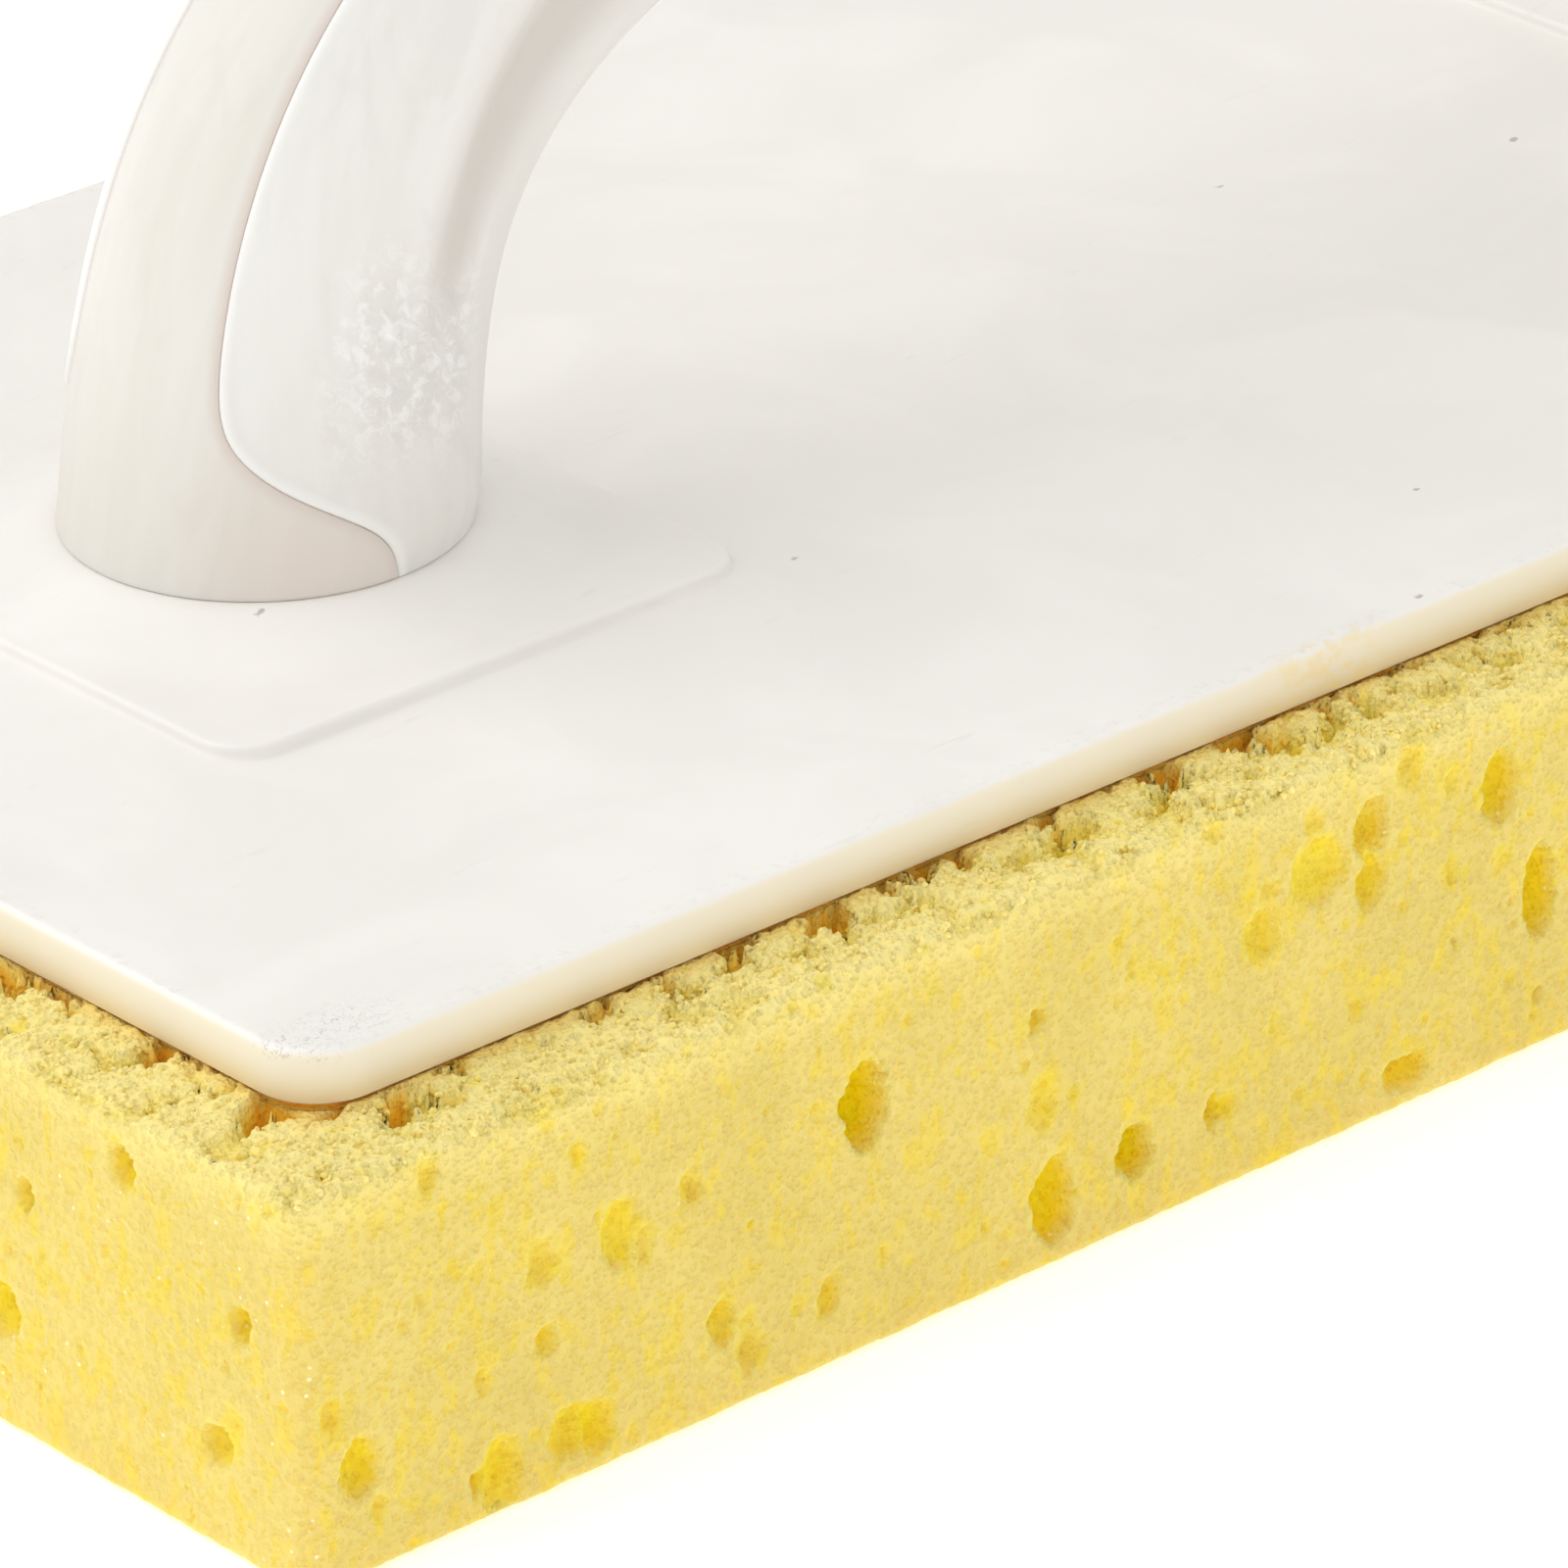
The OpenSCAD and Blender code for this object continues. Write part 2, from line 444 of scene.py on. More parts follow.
@dataclass
class Outline:
    """A rectangle with round corners, walked anticlockwise, in millimetres."""

    half_x: float
    half_y: float
    corner: float
    step: float
    centre: tuple[float, float] = (0.0, 0.0)
    corner_steps: int = 8
    least_corner: float = 0.4

    def points(self, inset: float) -> np.ndarray:
        """The outline drawn in by inset.

        Args:
            inset: How far inwards it moves.

        Returns:
            One x, y pair a row. Every inset gives the same number of points.
        """
        r = max(self.corner - inset, self.least_corner)
        hx, hy = self.half_x - inset, self.half_y - inset
        nx, ny = (max(2, round(2 * h / self.step)) for h in (self.half_x, self.half_y))
        turns = ((hx - r, -hy + r, -90), (hx - r, hy - r, 0), (-hx + r, hy - r, 90), (-hx + r, -hy + r, 180))
        rows = []
        for k, (cx, cy, start) in enumerate(turns):
            for j in range(self.corner_steps + 1):
                a = math.radians(start + 90 * j / self.corner_steps)
                rows.append((cx + r * math.cos(a), cy + r * math.sin(a)))
            after = turns[(k + 1) % 4]
            end_a = math.radians(after[2])
            end = (after[0] + r * math.cos(end_a), after[1] + r * math.sin(end_a))
            n = ny if k % 2 == 0 else nx
            last = rows[-1]
            rows += [(last[0] + (end[0] - last[0]) * j / n, last[1] + (end[1] - last[1]) * j / n)
                     for j in range(1, n)]
        return np.array(rows) + np.array(self.centre)


@dataclass
class Stack:
    """Points and faces gathered from loops and flat fills, in millimetres."""

    points: list[np.ndarray] = field(default_factory=list)
    outward: list[np.ndarray] = field(default_factory=list)
    faces: list[tuple[int, ...]] = field(default_factory=list)

    def count(self) -> int:
        """How many points there are so far."""
        return sum(len(p) for p in self.points)

    def add(self, points: np.ndarray, outward: np.ndarray) -> np.ndarray:
        """Adds points and returns their numbers."""
        start = self.count()
        self.points.append(np.asarray(points, float))
        self.outward.append(np.asarray(outward, float))
        return np.arange(start, start + len(points))

    def loop(self, outline: Outline, inset: float, z: float, lean: float) -> np.ndarray:
        """Adds one loop.

        Args:
            outline: The shape to follow.
            inset: How far inwards.
            z: Its height.
            lean: Elevation of the outward direction there, in degrees.

        Returns:
            The loop's point numbers.
        """
        flat = outline.points(inset)
        around = np.roll(flat, -1, 0) - np.roll(flat, 1, 0)
        side = np.stack([around[:, 1], -around[:, 0]], 1)
        side /= np.linalg.norm(side, axis=1)[:, None]
        c, s = math.cos(math.radians(lean)), math.sin(math.radians(lean))
        out = np.column_stack([side * c, np.full(len(flat), s)])
        return self.add(np.column_stack([flat, np.full(len(flat), z)]), out)

    def join(self, low: np.ndarray, high: np.ndarray) -> None:
        """Faces between two loops of equal length, the earlier one on the profile first."""
        a, b = np.roll(low, -1), np.roll(high, -1)
        self.faces += list(zip(low.tolist(), a.tolist(), b.tolist(), high.tolist()))

    def fill(self, rings: list[np.ndarray], spacing: float, margin: float, up: bool,
             height: Callable[[np.ndarray], np.ndarray] | None = None) -> None:
        """Fills the flat area inside the first loop and outside the others.

        Args:
            rings: The outer loop, then any holes, as point numbers.
            spacing: Distance between the points inside.
            margin: How far those points stay from the loops.
            up: Whether the faces look up.
            height: Added to the height of the points inside, from their x, y pairs.
        """
        cloud = np.concatenate(self.points)
        edge = [cloud[r][:, :2] for r in rings]
        z = cloud[rings[0][0], 2]
        low, high = edge[0].min(0) + margin, edge[0].max(0) - margin
        nx, ny = (max(1, round((high[i] - low[i]) / spacing)) for i in (0, 1))
        grid = np.stack(np.meshgrid(np.linspace(low[0], high[0], nx + 1),
                                    np.linspace(low[1], high[1], ny + 1)), -1).reshape(-1, 2)
        grid = grid[self._clear_of_corners(grid, edge[0], margin)]
        for hole in edge[1:]:
            near = (grid > hole.min(0) - margin).all(1) & (grid < hole.max(0) + margin).all(1)
            grid = grid[~near]
        rise = np.zeros(len(grid)) if height is None else height(grid)
        look = np.tile([0, 0, 1.0 if up else -1.0], (len(grid), 1))
        inside = self.add(np.column_stack([grid, z + rise]), look)
        numbers = np.concatenate([*rings, inside])
        flat = np.concatenate([*edge, grid])
        edges, start = [], 0
        for ring in rings:
            n = len(ring)
            edges += [(start + i, start + (i + 1) % n) for i in range(n)]
            start += n
        found = delaunay_2d_cdt([Vector(p) for p in flat], edges, [], 0, MERGE)
        back = [origin[0] for origin in found[3]]
        for tri in found[2]:
            corners = [back[i] for i in tri]
            middle = flat[corners].mean(0)
            if any(_inside(middle, hole) for hole in edge[1:]):
                continue
            a, b, c = (flat[i] for i in corners)
            area = (b[0] - a[0]) * (c[1] - a[1]) - (b[1] - a[1]) * (c[0] - a[0])
            if abs(area) < LEAST_AREA:
                continue
            order = corners if (area > 0) == up else corners[::-1]
            self.faces.append(tuple(int(numbers[i]) for i in order))

    @staticmethod
    def _clear_of_corners(grid: np.ndarray, ring: np.ndarray, margin: float) -> np.ndarray:
        """Which grid points stay a margin inside a ring, whose corners are round.

        Args:
            grid: x, y pairs.
            ring: The ring's x, y pairs.
            margin: The least distance.

        Returns:
            One truth value for each pair.
        """
        middle, half = (ring.min(0) + ring.max(0)) / 2, (ring.max(0) - ring.min(0)) / 2
        folded = half - np.abs(grid - middle)
        corner = half - np.abs(ring - middle)
        reach = max(corner[corner[:, 0] < 1e-6][:, 1].min(), corner[corner[:, 1] < 1e-6][:, 0].min())
        away = reach - folded
        tight = (away > 0).all(1)
        return ~tight | (np.hypot(*np.maximum(away, 0).T) < reach - margin)

    def build(self, name: str) -> bpy.types.Object:
        """The finished object, with its outward directions stored."""
        obj = new_object(name, np.concatenate(self.points) * MM, self.faces)
        out = obj.data.attributes.new("out", "FLOAT_VECTOR", "POINT")
        out.data.foreach_set("vector", np.concatenate(self.outward).astype(np.float32).ravel())
        return obj


def _inside(point: np.ndarray, ring: np.ndarray) -> bool:
    """Whether a point is inside a closed outline."""
    x, y = point
    nxt = np.roll(ring, -1, 0)
    crosses = (ring[:, 1] > y) != (nxt[:, 1] > y)
    with np.errstate(divide="ignore", invalid="ignore"):
        at = ring[:, 0] + (y - ring[:, 1]) / (nxt[:, 1] - ring[:, 1]) * (nxt[:, 0] - ring[:, 0])
    return bool((crosses & (x < at)).sum() % 2)


def quarter(radius: float, steps: int, start: float, end: float) -> list[tuple[float, float, float]]:
    """A rounded edge as inset, height and outward elevation, with the arc's centre at inset = radius.

    Args:
        radius: The edge's radius.
        steps: Arc steps.
        start: Elevation of the first outward direction, in degrees.
        end: Elevation of the last one.

    Returns:
        Inset, height from the arc's centre, and elevation for each step.
    """
    turns = [start + (end - start) * k / steps for k in range(steps + 1)]
    return [(radius * (1 - math.cos(math.radians(t))), radius * math.sin(math.radians(t)), t) for t in turns]


# ---------------------------------------------------------------- finishes


def shade(red: int, green: int, blue: int) -> tuple[float, float, float, float]:
    """A display colour, each part from 0 to 255, as the linear colour that a shader takes."""
    parts = [c / 255 for c in (red, green, blue)]
    return tuple(c / 12.92 if c <= 0.04045 else ((c + 0.055) / 1.055) ** 2.4 for c in parts) + (1.0,)


def shifted(colour: Colour, by: int) -> Colour:
    """A display colour made lighter, or darker by a negative number."""
    return tuple(part + by for part in colour)


def blend(tree: bpy.types.NodeTree, mask: Number, low: object, high: object) -> bpy.types.NodeSocket:
    """Mixes two colours.

    Args:
        tree: The shader tree.
        mask: 0 gives low and 1 gives high.
        low: A colour or a colour socket.
        high: A colour or a colour socket.

    Returns:
        The colour output.
    """
    node = tree.nodes.new("ShaderNodeMix")
    node.data_type = "RGBA"
    for socket, value in zip((node.inputs[0], node.inputs[6], node.inputs[7]), (mask, low, high)):
        plug(tree, value, socket)
    return node.outputs[2]


class Effect:
    """A shader node group that several finishes share."""

    def __init__(self, name: str, inputs: dict[str, float], outputs: Sequence[str]) -> None:
        """Starts the group with a Place vector.

        Args:
            name: The group's name.
            inputs: Its number inputs and their values.
            outputs: The names of its number outputs.
        """
        self.tree = bpy.data.node_groups.new(name, "ShaderNodeTree")
        self.tree.interface.new_socket("Place", in_out="INPUT", socket_type="NodeSocketVector")
        for key, value in inputs.items():
            socket = self.tree.interface.new_socket(key, in_out="INPUT", socket_type="NodeSocketFloat")
            socket.default_value = value
        for key in outputs:
            self.tree.interface.new_socket(key, in_out="OUTPUT", socket_type="NodeSocketFloat")
        self.source = self.tree.nodes.new("NodeGroupInput")
        self.sink = self.tree.nodes.new("NodeGroupOutput")

    def place(self) -> Vec:
        """The Place input, in millimetres."""
        return Vec(self.tree, self.source.outputs["Place"])

    def value(self, key: str) -> Field:
        """A number input."""
        return Field(self.tree, self.source.outputs[key])

    def give(self, key: str, value: Field) -> None:
        """Feeds an output."""
        self.tree.links.new(value.socket, self.sink.inputs[key])


def moulded_grain() -> bpy.types.NodeTree:
    """The faint skin of moulded plastic: a fine tooth and a slow ripple.

    Returns:
        The group. Its outputs are Height and Cloud.
    """
    effect = Effect("moulded grain", {"Tooth": 1.0, "Ripple": 1.0}, ("Height", "Cloud"))
    place = effect.place()
    tooth = place.noise(5.5, 3.0, 0.6) * effect.value("Tooth")
    ripple = place.noise(0.16, 2.0) * effect.value("Ripple")
    effect.give("Height", tooth * 0.02 + ripple * 0.5)
    effect.give("Cloud", place.noise(0.05, 3.0, 0.55, 0.6))
    return effect.tree


def specks() -> bpy.types.NodeTree:
    """Tiny dark inclusions and short hairline scuffs.

    Returns:
        The group. Its outputs are Specks and Scuffs.
    """
    effect = Effect("specks and scuffs", {"Spacing": 14.0, "Size": 0.35}, ("Specks", "Scuffs"))
    place, spacing = effect.place(), effect.value("Spacing")
    cells = place.scale(1.0 / spacing).cells()
    wobble = place.noise(2.5, 3.0) * 0.5
    chance = Field(effect.tree, cells.outputs["Color"]).ramp(0.45, 0.75)
    away = Field(effect.tree, cells.outputs["Distance"]) * spacing
    size = effect.value("Size")
    effect.give("Specks", chance * (1.0 - (away + wobble).ramp(size, size + 0.3)))
    streaks = (place * (0.16, 1.1, 0.6)).noise(1.0, 5.0, 0.62, 1.2)
    effect.give("Scuffs", streaks.ramp(0.60, 0.74) * place.noise(0.07, 2.0).ramp(0.45, 0.65))
    return effect.tree


class Coat:
    """A material under construction round one Principled shader."""

    effects: dict[str, bpy.types.NodeTree] = {}

    def __init__(self, name: str, **constants: object) -> None:
        """Starts the material.

        Args:
            name: The material's name.
            constants: The Principled shader's own values, with _ for a blank.
        """
        self.material = bpy.data.materials.new(name)
        self.material.use_nodes = True
        self.tree = self.material.node_tree
        self.tree.nodes.clear()
        self.shader = self.tree.nodes.new("ShaderNodeBsdfPrincipled")
        self.tree.links.new(self.shader.outputs[0], self.tree.nodes.new("ShaderNodeOutputMaterial").inputs[0])
        for key, value in constants.items():
            self.shader.inputs[key.replace("_", " ")].default_value = value

    def place(self) -> Vec:
        """The point on the object, in millimetres."""
        node = self.tree.nodes.new("ShaderNodeTexCoord")
        return Vec(self.tree, node.outputs["Object"]).scale(1 / MM)

    def stored(self, name: str) -> Field:
        """A number stored on the mesh."""
        node = self.tree.nodes.new("ShaderNodeAttribute")
        node.attribute_name = name
        return Field(self.tree, node.outputs["Fac"])

    def stored_vector(self, name: str) -> Vec:
        """A vector stored on the mesh."""
        node = self.tree.nodes.new("ShaderNodeAttribute")
        node.attribute_name = name
        return Vec(self.tree, node.outputs["Vector"])

    def effect(self, make: Callable[[], bpy.types.NodeTree], place: Vec, **values: float) -> bpy.types.Node:
        """Places a shared effect, which is built the first time.

        Args:
            make: The function that builds it.
            place: Where it looks its pattern up.
            values: The effect's inputs.

        Returns:
            The group node.
        """
        if make.__name__ not in Coat.effects:
            Coat.effects[make.__name__] = make()
        node = self.tree.nodes.new("ShaderNodeGroup")
        node.node_tree = Coat.effects[make.__name__]
        plug(self.tree, place, node.inputs["Place"])
        for key, value in values.items():
            plug(self.tree, value, node.inputs[key])
        return node

    def take(self, node: bpy.types.Node, output: str) -> Field:
        """A node's output as a field."""
        return Field(self.tree, node.outputs[output])

    def paint(self, ground: Colour, *layers: tuple[Number, Colour]) -> None:
        """Feeds the base colour.

        Args:
            ground: The colour underneath.
            layers: What comes over it, each as its mask and its colour.
        """
        colour = shade(*ground)
        for mask, over in layers:
            colour = blend(self.tree, mask, colour, shade(*over))
        self.feed("Base Color", colour)

    def feed(self, key: str, value: object) -> None:
        """Feeds one of the shader's inputs."""
        plug(self.tree, value, self.shader.inputs[key])

    def relief(self, height: Field, depth: float) -> None:
        """Feeds the shader's normal from a height in units of depth millimetres."""
        bump = self.tree.nodes.new("ShaderNodeBump")
        bump.inputs["Strength"].default_value = 1.0
        bump.inputs["Distance"].default_value = depth * MM
        plug(self.tree, height, bump.inputs["Height"])
        self.tree.links.new(bump.outputs[0], self.shader.inputs["Normal"])


@dataclass(frozen=True)
class PlateFinish:
    """Satin white polyethylene, cream on its cut walls, scuffed and specked by use."""

    top: Colour = (243, 240, 234)
    wall: Colour = (243, 236, 220)
    # Painted yellow light from the sponge below, strongest at the foot of the wall.
    wall_sponge_light: Colour = (232, 208, 158)
    # Painted shade along the low centre-line ridge.
    centre_line_shade: Colour = (222, 214, 203)
    speck: Colour = (178, 168, 158)
    dirt: Colour = (168, 160, 152)
    stain: Colour = (246, 214, 120)
    roughness: float = 0.42
    inclusions: tuple[tuple[float, float, float], ...] = (
        (-89.0, -12.0, 0.5), (-52.0, -26.0, 0.35), (-12.5, -48.0, 0.4), (15.5, 1.5, 0.35),
        (-25.0, -61.0, 0.5), (38.0, -7.5, 0.6), (70.0, 31.0, 0.4), (-96.0, 44.0, 0.35), (108.0, -22.0, 0.4))

    def inclusion(self, place: Vec) -> Field:
        """Where the few larger dark inclusions in the top face are.

        Args:
            place: The point, in millimetres.

        Returns:
            1 inside one of them.
        """
        ragged = Vec.of(place.tree, place.noise(1.1, 3.0, 0.7), place.noise(0.9, 3.0, 0.7), 0.0)
        x, y, _ = (place + ragged).parts()
        found = x * 0.0
        for at_x, at_y, size in self.inclusions:
            off_x, off_y = x - (at_x + 0.5), (y - (at_y + 0.5)) * 1.6
            found = found.max(1.0 - (off_x * off_x + off_y * off_y).math("SQRT").ramp(size * 0.5, size))
        return found

    def make(self) -> bpy.types.Material:
        """Builds the material. It reads the wall, low, burr, line, worn and stain values of the mesh.

        Returns:
            The material.
        """
        coat = Coat("plate_plastic", IOR=1.5, Subsurface_Weight=0.12, Subsurface_Radius=(1.0, 0.85, 0.7),
                    Subsurface_Scale=0.002)
        place = coat.place()
        grain = coat.effect(moulded_grain, place, Tooth=1.0, Ripple=0.25)
        marks = coat.effect(specks, place, Spacing=26.0, Size=0.12)
        cloud, scuffs = coat.take(grain, "Cloud"), coat.take(marks, "Scuffs")
        burr, worn = coat.stored("burr"), coat.stored("worn")
        grime = (place.noise(1.3, 5.0, 0.7).ramp(0.5, 0.72) * burr).max(coat.take(marks, "Specks") * 0.8)
        scratched = place.noise(2.2, 5.0, 0.75, 1.5).ramp(0.52, 0.64) * worn
        coat.paint(
            self.top,
            (cloud.ramp(0.35, 0.7), shifted(self.top, 5)),
            (coat.stored("wall"), self.wall),
            # Painted yellow light from the sponge, growing down the wall.
            (coat.stored("low").ramp(0.35, 1.1) * 0.8, self.wall_sponge_light),
            # Painted shade along the centre-line ridge.
            (coat.stored("line") * 0.35, self.centre_line_shade),
            ((grime * 0.16).max(scratched * 0.6).max(scuffs * 0.10), self.dirt),
            (coat.stored("stain") * place.noise(0.9, 4.0, 0.6).ramp(0.45, 0.6) * 0.35, self.stain),
            (self.inclusion(place) * 0.75, self.speck))
        coat.feed("Roughness", scuffs * 0.12 + cloud * 0.16 + worn * 0.15 + (self.roughness - 0.08))
        coat.relief(coat.take(grain, "Height") + grime * -0.08 + scuffs * -0.02, 0.12)
        return coat.material


@dataclass(frozen=True)
class ShellFinish:
    """Frosty, slightly clear white plastic with flow marks along the moulding, and painted glints on its
    frosted patch.
    """

    slot: Slot
    body: Colour
    flow: Colour
    # Painted seam light: darker on the spine as painted shade in the seam crease, lighter on the grip as a
    # painted highlight on its proud edge.
    seam_shade_and_highlight: Colour
    # A frosted, pitted flow-mark patch, its whiteness partly painted glints on the pits.
    frost_and_glint: Colour = (252, 250, 247)
    shadow: Colour = (206, 199, 190)
    speck: Colour = (176, 166, 158)
    roughness: float = 0.40

    def make(self) -> bpy.types.Material:
        """Builds the material. It reads the mesh's flow, rim, shadow, blush and chill values.

        Returns:
            The material.
        """
        coat = Coat(self.slot.value, IOR=1.49, Subsurface_Weight=0.22, Subsurface_Radius=(1.0, 0.8, 0.65),
                    Subsurface_Scale=0.003)
        flow = coat.stored_vector("flow")
        place = coat.place()
        streak = (flow * (0.05, 0.30, 1.0)).noise(1.0, 3.0, 0.5, 0.6)
        blotch = (flow * (0.12, 0.22, 1.0)).noise(1.0, 3.0, 0.55, 0.8)
        grain = coat.effect(moulded_grain, place, Tooth=1.0, Ripple=0.5)
        marks = coat.effect(specks, place, Spacing=17.0, Size=0.05)
        chill = coat.stored("chill")
        pits = flow.noise(0.9, 5.0, 0.72, 0.6)
        # The frosted flow-mark patch: pitted relief and a rougher finish, and near-white painted glints.
        frost_and_glint = pits.ramp(0.46, 0.62) * chill
        coat.paint(
            self.body,
            (streak.ramp(0.3, 0.75) * 0.55, self.flow),
            (blotch.ramp(0.5, 0.7) * 0.35, shifted(self.body, -9)),
            (frost_and_glint * 0.75, self.frost_and_glint),
            (coat.stored("shadow"), self.shadow),
            # Painted shade on the spine's lower leg beside the seam.
            (coat.stored("blush") * 0.7, shifted(self.seam_shade_and_highlight, 3)),
            # rim: painted shade along the spine's seam edge, painted highlight along the grip's.
            (coat.stored("rim"), self.seam_shade_and_highlight),
            (coat.take(marks, "Specks") * 0.6, self.speck))
        coat.feed("Roughness", streak * 0.2 + frost_and_glint * 0.15 + (self.roughness - 0.1))
        coat.relief(coat.take(grain, "Height") + blotch * 0.6 + pits * chill * 1.6, 0.16)
        return coat.material


# The last colour of each is painted seam light: shade on the spine, highlight on the grip.
SPINE_FINISH = ShellFinish(Slot.SPINE, (226, 222, 213), (234, 231, 224), (222, 209, 199))
GRIP_FINISH = ShellFinish(Slot.GRIP, (231, 228, 222), (239, 237, 233), (247, 245, 240))


@dataclass(frozen=True)
class SpongeFinish:
    """Soft yellow cellulose foam: pale cut skin, golden cavities, orange where glue has soaked in."""

    skin: Colour = (235, 213, 126)
    deep: Colour = (250, 222, 14)
    # Painted light from above: the paler colour of the top face and upper sides.
    worn: Colour = (255, 237, 152)
    glue: Colour = (252, 188, 48)
    golden: Colour = (238, 212, 84)
    cell: Colour = (240, 210, 84)
    glint: Colour = (255, 249, 214)

    def make(self) -> bpy.types.Material:
        """Builds the material. It reads the mesh's pore, ledge and soak values.

        Returns:
            The material.
        """
        coat = Coat("sponge", Roughness=0.9, IOR=1.35, Specular_IOR_Level=0.25,
                    Subsurface_Radius=(1.0, 0.75, 0.25), Subsurface_Scale=0.0022)
        place = coat.place()
        pore, ledge, soak = (coat.stored(k) for k in ("pore", "ledge", "soak"))
        stretched = place * (1.0, 1.0, 0.5)
        foam = coat.take(place.cells(2.3), "Distance")
        fine = place.noise(1.7, 2.0, 0.6)
        medium = stretched.noise(0.55, 4.0, 0.62, 0.3)
        hollow = (1.0 - foam).ramp(0.45, 0.8)
        glint = place.cells(0.8)
        sparkle = 1.0 - coat.take(glint, "Distance").ramp(0.07, 0.16)
        sparkle = sparkle * coat.take(glint, "Color").ramp(0.45, 0.6)
        coat.paint(
            self.skin,
            (stretched.noise(0.09, 2.0).ramp(0.3, 0.7), shifted(self.skin, -7)),
            (medium.ramp(0.49, 0.64) * 0.75, self.golden),
            (hollow * fine.ramp(0.35, 0.6) * 0.5, self.cell),
            (sparkle * 0.8, self.glint),
            # Painted light from above: the top face paler, and the upper sides half as much.
            (ledge, self.worn),
            (pore.min(1.0), self.deep),
            (soak, self.glue))
        coat.feed("Subsurface Weight", (1.0 - ledge * 1.6).max(0.0) * 0.6)
        coat.relief(foam.min(0.6) * 1.1 + fine * 0.55 + medium * 0.5, 0.27)
        return coat.material


@dataclass(frozen=True)
class AdhesiveFinish:
    """Cured amber glue, glossy where it has been squeezed out."""

    amber: Colour = (250, 176, 44)
    thin: Colour = (246, 196, 70)

    def make(self) -> bpy.types.Material:
        """Builds the material.

        Returns:
            The material.
        """
        coat = Coat("adhesive", IOR=1.48, Subsurface_Weight=0.2, Subsurface_Radius=(1.0, 0.5, 0.1),
                    Subsurface_Scale=0.001)
        place = coat.place()
        pool = place.noise(0.45, 4.0, 0.6, 0.5)
        coat.paint(self.amber, (pool.ramp(0.4, 0.62), self.thin))
        coat.feed("Roughness", pool * 0.3 + 0.2)
        coat.relief(place.noise(1.6, 4.0, 0.6), 0.4)
        return coat.material


@dataclass(frozen=True)
class ScrewFinish:
    """Bright zinc plate over steel, dulled in cloudy patches."""

    zinc: Colour = (196, 199, 202)
    dull: Colour = (128, 131, 135)

    def make(self) -> bpy.types.Material:
        """Builds the material.

        Returns:
            The material.
        """
        coat = Coat(Slot.SCREW.value, Metallic=1.0)
        place = coat.place()
        cloud = place.noise(1.4, 4.0, 0.6, 0.4)
        coat.paint(self.zinc, (cloud.ramp(0.35, 0.7), self.dull))
        coat.feed("Roughness", cloud * 0.35 + 0.18)
        coat.relief((place * (6.0, 6.0, 1.0)).noise(1.2, 3.0), 0.03)
        return coat.material


# ---------------------------------------------------------------- sponge


@dataclass
class Pore:
    """One large open pore: where it opens, its half sizes along the surface and its depth, in millimetres."""

    x: float
    y: float
    z: float
    half_width: float
    half_height: float
    depth: float


